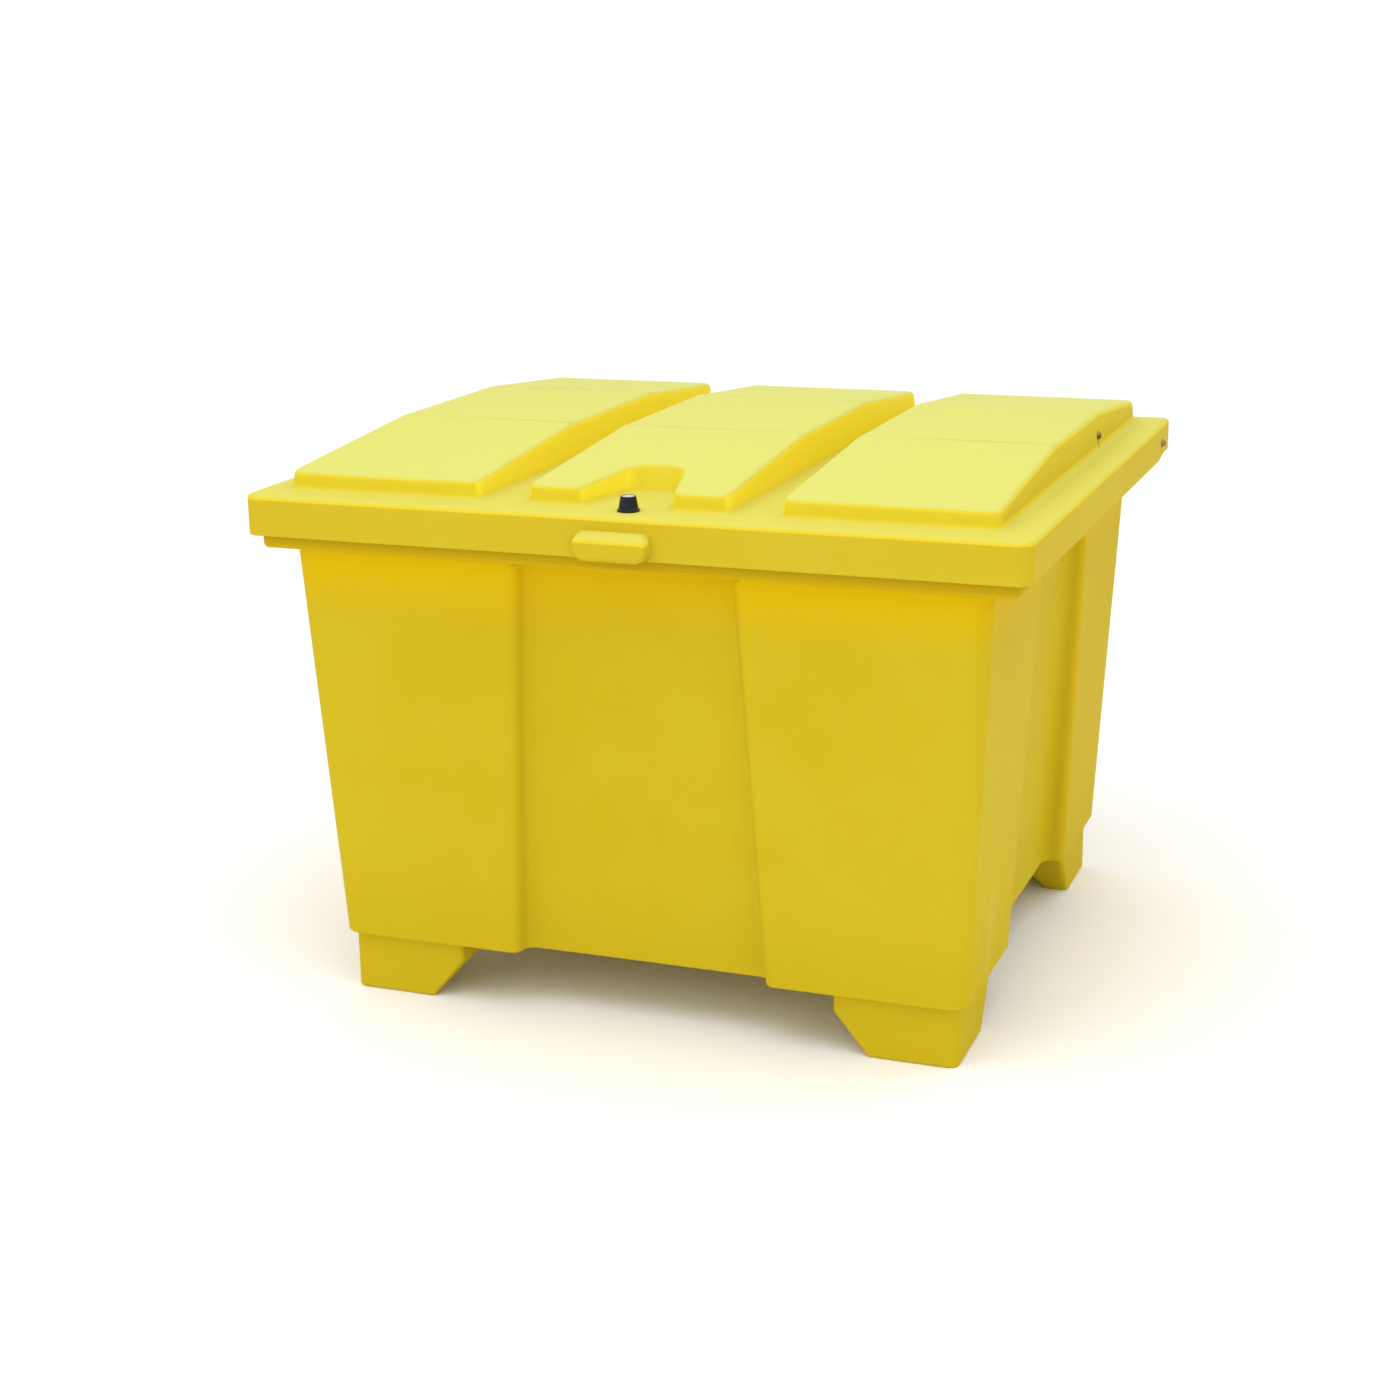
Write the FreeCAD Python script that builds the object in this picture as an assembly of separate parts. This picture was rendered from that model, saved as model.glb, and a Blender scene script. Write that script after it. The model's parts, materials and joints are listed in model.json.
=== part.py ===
import FreeCAD, Part
import math
import os

# Grit salt bin: a forkliftable moulded tub on four hollow feet, under a hinged moulded lid with a cam lock
# and two gas struts. Lengths are in millimetres. X runs to the right, Y to the back and Z up. The origin is
# on the ground, in the middle of the whole bin. Every piece of the left side mirrors its right-hand twin.

V = FreeCAD.Vector

# Moulded skin
wall = 6.0
rest_gap = 0.3
running_gap = 0.06
least_radius = 1.0

# How far a cutter runs past the face it cuts, and how near two heights count as one
overrun = 1.0
same_level = 0.01

# Tub, whose walls stand inside the lid's edges and lean in towards the base
lid_over_tub_side = 61.0
lid_over_tub_end = 41.0
wall_lean_side = 31.3
wall_lean_end = 31.1
tub_base_z = 96.5
rim_z = 724.0
tub_corner_radius = 32.0
tub_base_radius = 3.0

# Sunk middle of each side of the tub, deeper and steeper towards the base
recess_base_depth = 33.0
recess_rim_depth = 23.0
recess_base_run = 8.0
recess_rim_run = 11.5
recess_base_width_front = 406.0
recess_rim_width_front = 343.0
recess_base_width_side = 400.0
recess_rim_width_side = 316.0
recess_edge_radius = 16.0

# Feet, each measured at the ground and at the neck where its taper ends
foot_inset = 13.5
foot_taper_z = 66.0
foot_ground_width = 136.5
foot_ground_depth = 145.5
foot_ground_inner_end = 15.0
foot_ground_inner_side = 38.0
foot_neck_width = 191.5
foot_neck_depth = 192.0
foot_neck_inner_end = 57.0
foot_neck_inner_side = 94.0
foot_corner_radius = 18.0
foot_sole_radius = 4.0
foot_ground_radius = 5.0
foot_neck_radius = 8.0
foot_slant_rounding = 2.5
foot_side_rounding = 1.5
foot_overlap = 2.0

# Rim: a ledge and an upstand under the lid
rim_height = 77.0
rim_corner_radius = 12.0
rim_rear_corner_radius = 12.0
rim_edge_radius = 7.5

# Lid
lid_width = 1200.0
lid_depth = 1098.0
lid_skirt_depth = 62.0
lid_corner_radius = 22.0
lid_rear_corner_radius = 10.0
lid_edge_radius = 8.0
lid_foot_radius = 2.0
skirt_gap_side = 13.0
skirt_gap_front = 8.3
rear_lip_depth = 21.3
skirt_step_height = 9.0
skirt_step_start = 105.0
skirt_step_run = 45.0

# Raised panels of the lid
middle_panel_width = 313.0
channel_width = 75.0
panel_side_margin = 53.0
panel_front_margin = 48.0
panel_rear_margin = 43.0
panel_front_height = 30.0
panel_front_ridge = 60.3
panel_rear_ridge = 61.2
panel_rear_height = 34.7
panel_front_lean = 4.0
panel_rear_lean = 3.0
first_crease = 357.3
second_crease = 696.0
crease_radius = 250.0
panel_side_draft = 0.08
panel_corner_radius = 18.0
panel_edge_radius = 9.0
panel_foot_radius = 12.0
panel_crown_share = 1.2

# Arched notch in front of the middle panel
notch_mouth_half_width = 70.0
notch_back_half_width = 36.0
notch_depth_foot = 130.0
notch_depth_top = 155.0
notch_arch_radius = 42.0
notch_top_height = 58.0
notch_mouth_radius = 22.0

# Grip lip on the front skirt
grip_reach = 22.0
grip_width = 112.0
grip_root_width = 115.0
grip_top_below_lid = 30.0
grip_bottom_below_lid = 63.0
grip_root_rise = 8.0
grip_edge_radius = 9.0
grip_corner_radius = 17.0
grip_shoulder_radius = 10.0

# Hinge
hinge_below_lid = 27.8
hinge_from_rear = 21.0
hinge_bolt_radius = 4.0
hinge_head_radius = 6.5
hinge_head_height = 6.8
hinge_head_rim = 1.6
bush_wall = 2.0
bush_flange_radius = 9.0
bush_flange_thickness = 2.0
spacer_radius = 7.0
washer_radius = 8.0
washer_thickness = 1.6
lock_nut_height = 7.5
lock_nut_flats = 13.0
lock_nut_collar = 1.5
lock_nut_collar_inset = 1.0
bolt_end = 2.0

# Gas struts
strut_from_boss = 13.0
strut_lid_from_hinge = 298.0
strut_lid_height = 24.8
strut_foot_from_hinge = 47.0
strut_foot_below_hinge = 93.5
tube_radius = 9.0
tube_wall = 1.2
tube_length = 205.0
rod_radius = 4.0
piston_length = 14.0
piston_rest = 45.0
guide_length = 16.0
eye_radius = 10.0
eye_thickness = 12.0
eye_pin_radius = 4.0
eye_reach = 20.0
eye_neck_radius = 6.0
pin_collar_radius = 7.0
pin_head_thickness = 2.5
tube_end = 3.0
seat_radius = 8.0
seat_depth = 0.5
seat_margin = 1.0

# Bracket of each strut on the tub
boss_width = 74.0
boss_height = 46.0
boss_from_wall = 16.0
boss_screw_drop = 12.0
bracket_thickness = 3.0
bracket_width = 64.0
bracket_height = 36.0
bracket_corner_radius = 8.0
bracket_screw_pitch = 48.0
screw_radius = 3.0
screw_head_radius = 5.0
screw_head_height = 3.3
insert_radius = 5.0
insert_length = 10.0
screw_short_of_insert = 1.0
clip_thickness = 1.5

# Lock
lock_x = 6.0
lock_from_front = 47.0
housing_flange_radius = 16.8
housing_flange_height = 2.6
housing_cone_foot_radius = 14.7
housing_cone_top_radius = 11.4
housing_height = 21.0
gasket_thickness = 1.2
gasket_radius = 16.0
barrel_radius = 9.0
barrel_length = 47.0
barrel_below_cone = 0.3
lock_ring_nut_flats = 24.0
lock_ring_nut_height = 6.0
rotor_radius = 5.0
key_slot_length = 7.0
key_slot_width = 1.6
key_slot_depth = 8.0
rotor_square = 6.8
cam_thickness = 3.0
cam_width = 16.0
cam_reach = 23.0
cam_corner_radius = 5.3
cam_screw_radius = 2.5
cam_screw_length = 8.0
cam_screw_head_radius = 4.5
cam_screw_head_height = 3.2

# Strike plate under which the cam turns
strike_width = 72.0
strike_leg = 38.0
strike_thickness = 3.0
strike_flange = 11.0
strike_cam_gap = 0.5
rivet_pitch = 48.0
rivet_drop = 24.0
rivet_radius = 2.0
rivet_head_radius = 5.0
rivet_head_height = 2.5

# Levels and faces that follow from the sizes above
tub_rim_width = lid_width - 2 * lid_over_tub_side
tub_rim_depth = lid_depth - 2 * lid_over_tub_end
tub_base_width = tub_rim_width - 2 * wall_lean_side
tub_base_depth = tub_rim_depth - 2 * wall_lean_end
boss_face_x = tub_rim_width / 2 - boss_from_wall
strut_plane_x = boss_face_x - strut_from_boss
rim_top_z = rim_z + rim_height
lid_under_z = rim_top_z + rest_gap
lid_top_z = lid_under_z + wall
skirt_z = lid_top_z - lid_skirt_depth
lid_half = lid_width / 2
lid_rear_y = (lid_depth + grip_reach) / 2
lid_front_y = lid_rear_y - lid_depth
rim_half = lid_half - wall - skirt_gap_side
rim_front_y = lid_front_y + wall + skirt_gap_front
tub_rear_y = tub_rim_depth / 2
hinge_y = tub_rear_y - hinge_from_rear
hinge_z = lid_under_z - hinge_below_lid
panel_front_y = lid_front_y + panel_front_margin
panel_rear_y = lid_rear_y - panel_rear_margin
panel_edge_x = lid_half - panel_side_margin
lock_y = lid_front_y + lock_from_front
housing_z = lid_top_z + gasket_thickness
barrel_top_z = housing_z + housing_height - barrel_below_cone
barrel_foot_z = barrel_top_z - barrel_length
cam_top_z = barrel_foot_z - rest_gap
strike_z = cam_top_z + strike_cam_gap
rivet_z = strike_z - rivet_drop
strike_face_y = rim_front_y + wall
strut_foot_y = hinge_y - strut_foot_from_hinge
strut_foot_z = hinge_z - strut_foot_below_hinge
bracket_screw_z = strut_foot_z - boss_screw_drop
bracket_middle_z = (strut_foot_z + bracket_screw_z) / 2
strut_lid_y = hinge_y - strut_lid_from_hinge
strut_lid_z = lid_top_z + strut_lid_height
strut_length = math.hypot(strut_foot_y - strut_lid_y, strut_lid_z - strut_foot_z)
lid_bolt_seat_x = panel_edge_x - panel_side_draft * (strut_lid_height + seat_radius)
lid_bolt_washer_x = (panel_edge_x - panel_side_draft * (strut_lid_height + washer_radius)
                     - wall * math.hypot(1, panel_side_draft) + seat_depth)
lid_pin_end_x = lid_bolt_washer_x - washer_thickness - lock_nut_height - rest_gap
far = 2 * lid_width


def at_x(x):
    """Places a flat outline's (y, z) points in the plane at x."""
    return lambda u, v: V(x, u, v)


def at_y(y):
    """Places a flat outline's (x, z) points in the plane at y."""
    return lambda u, v: V(u, y, v)


def at_z(z):
    """Places a flat outline's (x, y) points in the plane at z."""
    return lambda u, v: V(u, v, z)


def unit(a, b):
    """Direction from point a to point b of a flat outline."""
    length = math.hypot(b[0] - a[0], b[1] - a[1])
    return (b[0] - a[0]) / length, (b[1] - a[1]) / length


def inset(outline, t):
    """The same outline moved inward by t, with its rounded corners kept concentric."""
    moved = []
    for i, corner in enumerate(outline):
        ax, ay = unit(outline[i - 1], corner)
        bx, by = unit(corner, outline[(i + 1) % len(outline)])
        share = t / (1 + ax * bx + ay * by)
        turns_out = ax * by - ay * bx > 0
        radius = corner[2] - t if turns_out else corner[2] + t
        if corner[2] == 0:
            radius = 0
        elif radius < least_radius:
            radius = least_radius
        moved.append((corner[0] - share * (ay + by), corner[1] + share * (ax + bx), radius))
    return moved


def ring(outline, place):
    """Closed wire round an outline of (u, v, corner radius), placed in space."""
    stops = []
    for i, corner in enumerate(outline):
        u, v, radius = corner
        if radius == 0:
            stops.append((place(u, v), None, place(u, v)))
            continue
        ax, ay = unit(outline[i - 1], corner)
        bx, by = unit(corner, outline[(i + 1) % len(outline)])
        turn = abs(math.atan2(ax * by - ay * bx, ax * bx + ay * by))
        reach = radius * math.tan(turn / 2)
        sag = radius * (1 / math.cos(turn / 2) - 1)
        mx, my = bx - ax, by - ay
        size = math.hypot(mx, my)
        middle = place(u + sag * mx / size, v + sag * my / size)
        stops.append((place(u - reach * ax, v - reach * ay), middle, place(u + reach * bx, v + reach * by)))
    edges = []
    for i, (start, middle, end) in enumerate(stops):
        if middle:
            edges.append(Part.Arc(start, middle, end).toShape())
        edges.append(Part.LineSegment(end, stops[(i + 1) % len(stops)][0]).toShape())
    return Part.Wire(edges)


def column(outline, place, reach):
    """Solid over an outline, from its plane along the vector reach."""
    return Part.Face(ring(outline, place)).extrude(reach)


def taper(lower, lower_place, upper, upper_place):
    """Solid between two outlines with equal numbers of corners."""
    return Part.makeLoft([ring(lower, lower_place), ring(upper, upper_place)], True, True)


def rectangle(u0, v0, u1, v1, radius=0.0):
    """Rounded rectangle as an outline."""
    return [(u0, v0, radius), (u1, v0, radius), (u1, v1, radius), (u0, v1, radius)]


def block(x0, y0, z0, x1, y1, z1):
    """Plain box between two corners."""
    return Part.makeBox(x1 - x0, y1 - y0, z1 - z0, V(x0, y0, z0))


def rod_x(y, z, radius, x0, x1):
    """Round bar along X."""
    return Part.makeCylinder(radius, x1 - x0, V(x0, y, z), V(1, 0, 0))


def rod_z(x, y, radius, z0, z1):
    """Round bar along Z."""
    return Part.makeCylinder(radius, z1 - z0, V(x, y, z0), V(0, 0, 1))


def turned(profile, centre, axis):
    """Solid of revolution about an axis through centre from (radius, height along the axis) points."""
    points = [V(r, 0, h) for r, h in profile]
    solid = Part.Face(Part.makePolygon(points + points[:1])).revolve(V(0, 0, 0), V(0, 0, 1), 360)
    solid.Placement = FreeCAD.Placement(centre, FreeCAD.Rotation(V(0, 0, 1), axis))
    return solid


def hexagon(across_flats):
    """Hexagonal outline about its own centre."""
    corner = across_flats / math.sqrt(3)
    turns = [math.tau * i / 6 for i in range(6)]
    return [(corner * math.cos(turn), corner * math.sin(turn), 0) for turn in turns]


def moved_outline(outline, du, dv):
    """An outline shifted in its plane."""
    return [(u + du, v + dv, radius) for u, v, radius in outline]


def edges_where(shape, test):
    """Edges of a shape whose bounding box passes a test."""
    return [edge for edge in shape.Edges if test(edge.BoundBox)]


def level(z):
    """Test for edges that lie flat at height z."""
    return lambda box: abs(box.ZMin - z) < same_level and abs(box.ZMax - z) < same_level


def mirrored(solid):
    """The left-hand twin of a right-hand piece."""
    return solid.mirror(V(0, 0, 0), V(1, 0, 0))


def corners(solid):
    """The four copies of a piece that stands at the right rear corner."""
    front = solid.mirror(V(0, 0, 0), V(0, 1, 0))
    return [solid, mirrored(solid), front, mirrored(front)]


def wall_x(z):
    """Outer face of the tub's side at height z."""
    rise = (z - tub_base_z) / (rim_z - tub_base_z)
    return (tub_base_width + rise * (tub_rim_width - tub_base_width)) / 2


def sunk_side(half_run, half_width, away, depth, run):
    """Five points of one side: its corner and the step down to its sunk middle and back."""
    inner = half_width - run
    r = recess_edge_radius
    sunk = away - depth
    return [(-half_run, away, tub_corner_radius), (-half_width, away, r), (-inner, sunk, r),
            (inner, sunk, r), (half_width, away, r)]


def tub_outline(width, depth, front_recess, side_recess, sunk, run):
    """Outline of the tub at one height, whose sides are sunk by a depth over a run."""
    points = []
    sides = [(width / 2, front_recess / 2, depth / 2), (depth / 2, side_recess / 2, width / 2)] * 2
    for quarter, (half_run, half_width, away) in enumerate(sides):
        c, s = [(1, 0), (0, 1), (-1, 0), (0, -1)][quarter]
        for u, v, radius in sunk_side(half_run, half_width, away, sunk, run):
            points.append((u * c + v * s, u * s - v * c, radius))
    return points


def tub_core(t):
    """The tub's tapered body, drawn in by t for its inside, carried straight up past the rim's underside."""
    base = tub_outline(tub_base_width, tub_base_depth, recess_base_width_front, recess_base_width_side,
                       recess_base_depth, recess_base_run)
    top = tub_outline(tub_rim_width, tub_rim_depth, recess_rim_width_front, recess_rim_width_side,
                      recess_rim_depth, recess_rim_run)
    base = inset(base, t)
    top = inset(top, t)
    floor_z = tub_base_z + t
    body = taper(base, at_z(floor_z), top, at_z(rim_z))
    edge = max(tub_base_radius - t, least_radius)
    body = body.makeFillet(edge, edges_where(body, level(floor_z)))
    collar = column(top, at_z(rim_z), V(0, 0, rim_edge_radius + wall))
    return body.fuse(collar)


def foot_outline(width, depth, inner_end, inner_side, radius):
    """Outline of the right rear foot, whose inner corner is cut off at a slant."""
    x = tub_base_width / 2 - foot_inset
    y = tub_base_depth / 2 - foot_inset
    return [(x, y, foot_corner_radius), (x - width, y, radius), (x - width, y - inner_end, radius),
            (x - inner_side, y - depth, foot_slant_rounding * radius),
            (x, y - depth, foot_side_rounding * radius)]


def foot(t):
    """One foot, drawn in by t for its hollow inside."""
    sole = foot_outline(foot_ground_width, foot_ground_depth, foot_ground_inner_end, foot_ground_inner_side,
                        foot_ground_radius)
    neck = foot_outline(foot_neck_width, foot_neck_depth, foot_neck_inner_end, foot_neck_inner_side,
                        foot_neck_radius)
    sole = inset(sole, t)
    neck = inset(neck, t)
    pad = taper(sole, at_z(t), neck, at_z(foot_taper_z))
    if t == 0:
        pad = pad.makeFillet(foot_sole_radius, edges_where(pad, level(0)))
    return pad.fuse(column(neck, at_z(foot_taper_z), V(0, 0, tub_base_z + t + foot_overlap - foot_taper_z)))


def rim(t):
    """The rim's band, drawn in by t for its inside. It ends level with the tub's rear wall."""
    front_r = rim_corner_radius
    rear_r = rim_rear_corner_radius
    outline = [(-rim_half, rim_front_y, front_r), (rim_half, rim_front_y, front_r),
               (rim_half, tub_rear_y, rear_r), (-rim_half, tub_rear_y, rear_r)]
    band = column(inset(outline, t), at_z(rim_z + t), V(0, 0, rim_height - t + (far if t else 0)))
    edge = max(rim_edge_radius - t, least_radius)
    return band.makeFillet(edge, edges_where(band, level(rim_z + t)))


def rear_roll():
    """Cuts the top of the rim at the rear so that the lid's underside rolls over it."""
    radius = rim_top_z - hinge_z
    cutter = block(-far, hinge_y, hinge_z, far, hinge_y + far, hinge_z + far)
    return cutter.cut(rod_x(hinge_y, hinge_z, radius, -far, far))


def bracket_screw_ys():
    """Where the bracket's two screws stand along Y."""
    return [strut_foot_y - bracket_screw_pitch / 2, strut_foot_y + bracket_screw_pitch / 2]


def rivet_xs():
    """Where the strike plate's two rivets stand along X."""
    return [lock_x - rivet_pitch / 2, lock_x + rivet_pitch / 2]


def make_tub():
    """The tub with its feet, rim, bracket bosses and drilled holes."""
    outer = tub_core(0).fuse([rim(0)] + corners(foot(0)))
    inner = tub_core(wall).fuse([rim(wall)] + corners(foot(wall)))
    tub = outer.cut(inner)
    tub = tub.cut(rear_roll())
    low_z = bracket_middle_z - boss_height / 2
    boss_outline = rectangle(strut_foot_y - boss_width / 2, low_z, strut_foot_y + boss_width / 2,
                             low_z + boss_height, bracket_corner_radius)
    boss_depth = wall_x(low_z) - wall / 2 - boss_face_x
    boss = column(boss_outline, at_x(boss_face_x), V(boss_depth, 0, 0))
    tub = tub.fuse([boss, mirrored(boss)])
    hinge_bore = hinge_bolt_radius + running_gap
    drill = [rod_x(hinge_y, hinge_z, hinge_bore, rim_half - 2 * wall, rim_half + wall)]
    insert_end_x = boss_face_x + insert_length
    for y in bracket_screw_ys():
        drill.append(rod_x(y, bracket_screw_z, insert_radius, boss_face_x - overrun, insert_end_x))
    drill += [mirrored(hole) for hole in drill]
    for x in rivet_xs():
        drill.append(Part.makeCylinder(rivet_radius, 3 * wall, V(x, rim_front_y - wall, rivet_z), V(0, 1, 0)))
    return tub.cut(drill).removeSplitter()


def panel_outline(x0, x1, rise, notched):
    """Plan of a panel at a rise above the lid's top, where its drafted walls have leant in."""
    side = panel_side_draft * rise
    front = panel_front_y + panel_front_lean * rise / panel_front_height
    rear = panel_rear_y - panel_rear_lean * rise / panel_rear_height
    r = panel_corner_radius
    outline = [(x0 + side, front, r), (x1 - side, front, r), (x1 - side, rear, r), (x0 + side, rear, r)]
    if notched:
        lean = (notch_depth_top - notch_depth_foot) * rise / notch_top_height
        arch_y = panel_front_y + notch_depth_foot + lean
        mouth = notch_mouth_half_width + side
        back = notch_back_half_width + side
        outline[1:1] = [(-mouth, front, notch_mouth_radius), (-back, arch_y, notch_arch_radius),
                        (back, arch_y, notch_arch_radius), (mouth, front, notch_mouth_radius)]
    return outline


def roof(foot_z):
    """Side view of the panels' tops as a (y, z) outline that runs past both ends and down to foot_z."""
    front = (panel_front_y + panel_front_lean, lid_top_z + panel_front_height)
    rear = (panel_rear_y - panel_rear_lean, lid_top_z + panel_rear_height)
    first = (panel_front_y + first_crease, lid_top_z + panel_front_ridge)
    second = (panel_front_y + second_crease, lid_top_z + panel_rear_ridge)
    run = panel_front_margin
    front_end = (front[0] - run, front[1] - run * (first[1] - front[1]) / (first[0] - front[0]))
    rear_end = (rear[0] + run, rear[1] - run * (second[1] - rear[1]) / (rear[0] - second[0]))
    return [(front_end[0], foot_z, 0), (rear_end[0], foot_z, 0), (rear_end[0], rear_end[1], 0),
            (second[0], second[1], crease_radius), (first[0], first[1], crease_radius),
            (front_end[0], front_end[1], 0)]


def panel(x0, x1, t, notched):
    """One raised panel between x0 and x1 at the lid's top, drawn in by t for its inside."""
    foot_z = lid_under_z - t
    crown = panel_crown_share * max(panel_front_ridge, panel_rear_ridge)
    foot_plan = inset(panel_outline(x0, x1, 0, notched), t)
    crown_plan = inset(panel_outline(x0, x1, crown, notched), t)
    form = taper(foot_plan, at_z(lid_top_z), crown_plan, at_z(lid_top_z + crown))
    form = form.fuse(column(foot_plan, at_z(foot_z), V(0, 0, lid_top_z - foot_z))).removeSplitter()
    form = form.common(column(inset(roof(foot_z - 2 * t), t), at_x(-lid_half), V(lid_width, 0, 0)))
    if t == 0:
        form = form.makeFillet(panel_edge_radius, top_loop(form))
    return form


def top_loop(form):
    """Edges round the top of a panel, without the creases that cross it."""
    side_to_side = notch_mouth_half_width
    near_front = panel_front_y + 2 * panel_front_lean
    near_rear = panel_rear_y - panel_edge_radius
    loop = []
    for edge in form.Edges:
        box = edge.BoundBox
        crosses = box.XLength > side_to_side and box.YLength < same_level
        at_an_end = box.YMin < near_front or box.YMax > near_rear
        if box.ZMin > lid_top_z + panel_front_height / 2 and (at_an_end or not crosses):
            loop.append(edge)
    return loop


def panel_spans():
    """The x limits of the left, middle and right panels at the lid's top, and whether each has the notch."""
    middle = middle_panel_width / 2
    near = middle + channel_width
    return [(-panel_edge_x, -near, False), (-middle, middle, True), (near, panel_edge_x, False)]


def grip(t):
    """The grip lip on the front skirt, drawn in by t for the finger hollow behind it."""
    top_z = lid_top_z - grip_top_below_lid
    bottom_z = lid_top_z - grip_bottom_below_lid
    spread = (grip_root_width - grip_width) / 2
    half = grip_width / 2
    root_y = lid_front_y + wall
    face_y = lid_front_y - grip_reach
    spread = spread * (root_y - face_y) / grip_reach
    rise = grip_root_rise * (root_y - face_y) / grip_reach
    low_r = grip_corner_radius
    high_r = grip_shoulder_radius
    face = [(-half, bottom_z, low_r), (half, bottom_z, low_r), (half, top_z, high_r), (-half, top_z, high_r)]
    root = [(-half - spread, bottom_z, low_r), (half + spread, bottom_z, low_r),
            (half + spread, top_z + rise, high_r), (-half - spread, top_z + rise, high_r)]
    if t:
        face = [(u, v - 2 * t if v == bottom_z else v, radius) for u, v, radius in face]
        root = [(u, v - 2 * t if v == bottom_z else v, radius) for u, v, radius in root]
    form = taper(inset(face, t), at_y(face_y + t), inset(root, t), at_y(root_y + t))
    rounding = max(grip_edge_radius - t, grip_edge_radius / 3)
    return form.makeFillet(rounding, edges_where(form, lambda box: box.YMax < face_y + t + same_level))


def skirt_step():
    """Cutter that steps the side skirts' lower edge up towards the rear."""
    start_y = lid_rear_y - skirt_step_start
    end_y = lid_rear_y + wall
    low = skirt_z - wall
    high = skirt_z + skirt_step_height
    outline = [(start_y, low, 0), (end_y, low, 0), (end_y, high, 0), (start_y + skirt_step_run, high, 0),
               (start_y, skirt_z, 0)]
    return column(outline, at_x(-far), V(2 * far, 0, 0))


def rear_cutaway():
    """Cutter that leaves only a shallow lip along the lid's rear edge, so that it clears the tub."""
    half = lid_half - wall
    lip_z = lid_under_z - rear_lip_depth + wall
    return block(-half, lid_rear_y - 2 * wall, skirt_z - wall, half, lid_rear_y + wall, lip_z)


def make_lid():
    """The lid with its skirt, panels, notch, grip and drilled holes."""
    front_r = lid_corner_radius
    rear_r = lid_rear_corner_radius
    deck = [(-lid_half, lid_front_y, front_r), (lid_half, lid_front_y, front_r),
            (lid_half, lid_rear_y, rear_r), (-lid_half, lid_rear_y, rear_r)]
    outer = column(deck, at_z(skirt_z), V(0, 0, lid_skirt_depth))
    outer = outer.makeFillet(lid_edge_radius, edges_where(outer, level(lid_top_z)))
    outer = outer.makeFillet(lid_foot_radius, edges_where(outer, level(skirt_z)))
    outer = outer.fuse([panel(x0, x1, 0, notched) for x0, x1, notched in panel_spans()])
    outer = outer.makeFillet(panel_foot_radius, panel_foot_edges(outer, lid_top_z))
    outer = outer.fuse(grip(0))
    inner = column(inset(deck, wall), at_z(skirt_z - wall), V(0, 0, lid_under_z - skirt_z + wall))
    inner_edge = max(lid_edge_radius - wall, least_radius)
    inner = inner.makeFillet(inner_edge, edges_where(inner, level(lid_under_z)))
    inner = inner.fuse([panel(x0, x1, wall, notched) for x0, x1, notched in panel_spans()])
    inner = inner.makeFillet(panel_foot_radius + wall, panel_foot_edges(inner, lid_under_z))
    inner = inner.fuse(grip(wall))
    lid = outer.cut([inner, skirt_step(), rear_cutaway()])
    bush_hole = rod_x(hinge_y, hinge_z, hinge_bolt_radius + bush_wall, lid_half - 2 * wall, lid_half + wall)
    strut_bore = hinge_bolt_radius + running_gap
    strut_hole = rod_x(strut_lid_y, strut_lid_z, strut_bore, lid_bolt_washer_x - wall, far)
    outer_seat = rod_x(strut_lid_y, strut_lid_z, seat_radius, lid_bolt_seat_x, far)
    inner_seat = rod_x(strut_lid_y, strut_lid_z, washer_radius + seat_margin, lid_bolt_washer_x - wall,
                       lid_bolt_washer_x)
    holes = [bush_hole, strut_hole, outer_seat, inner_seat]
    holes += [mirrored(hole) for hole in holes]
    holes.append(rod_z(lock_x, lock_y, barrel_radius, lid_under_z - wall, lid_top_z + wall))
    return lid.cut(holes).removeSplitter()


def panel_foot_edges(shell, z):
    """Edges where the panels' walls rise from the lid's flat top, or from its underside, at height z."""
    margin = lid_edge_radius + wall + overrun
    x_limit = lid_half - margin
    return edges_where(shell, lambda box: level(z)(box) and -x_limit < box.XMin and box.XMax < x_limit
                       and box.YMin > lid_front_y + margin and box.YMax < lid_rear_y - margin)


def dome_bolt(x, y, z, x_end, radius):
    """Bolt along X whose domed head sits at x, outwards, and whose shank ends at x_end."""
    cap = hinge_head_height - hinge_head_rim
    ball = (hinge_head_radius ** 2 + cap ** 2) / (2 * cap)
    top = x + hinge_head_height
    head = rod_x(y, z, hinge_head_radius, x, top)
    head = head.common(Part.makeSphere(ball, V(top - ball, y, z)).fuse(
        rod_x(y, z, hinge_head_radius, x, x + hinge_head_rim)))
    return head.fuse(rod_x(y, z, radius, x_end, x + hinge_head_rim)).removeSplitter()


def ring_x(y, z, outer, inner, x0, x1):
    """Washer or sleeve along X."""
    return rod_x(y, z, outer, x0, x1).cut(rod_x(y, z, inner, x0 - overrun, x1 + overrun))


def lock_nut(x, y, z):
    """Lock nut along X whose seat is at x and whose nylon collar faces inwards."""
    collar_x = x - lock_nut_height + lock_nut_collar
    flats = column(moved_outline(hexagon(lock_nut_flats), y, z), at_x(collar_x), V(x - collar_x, 0, 0))
    collar = rod_x(y, z, lock_nut_flats / 2 - lock_nut_collar_inset, collar_x - lock_nut_collar, collar_x)
    return flats.fuse(collar).cut(rod_x(y, z, hinge_bolt_radius, x - lock_nut_height - overrun, x + overrun))


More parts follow.
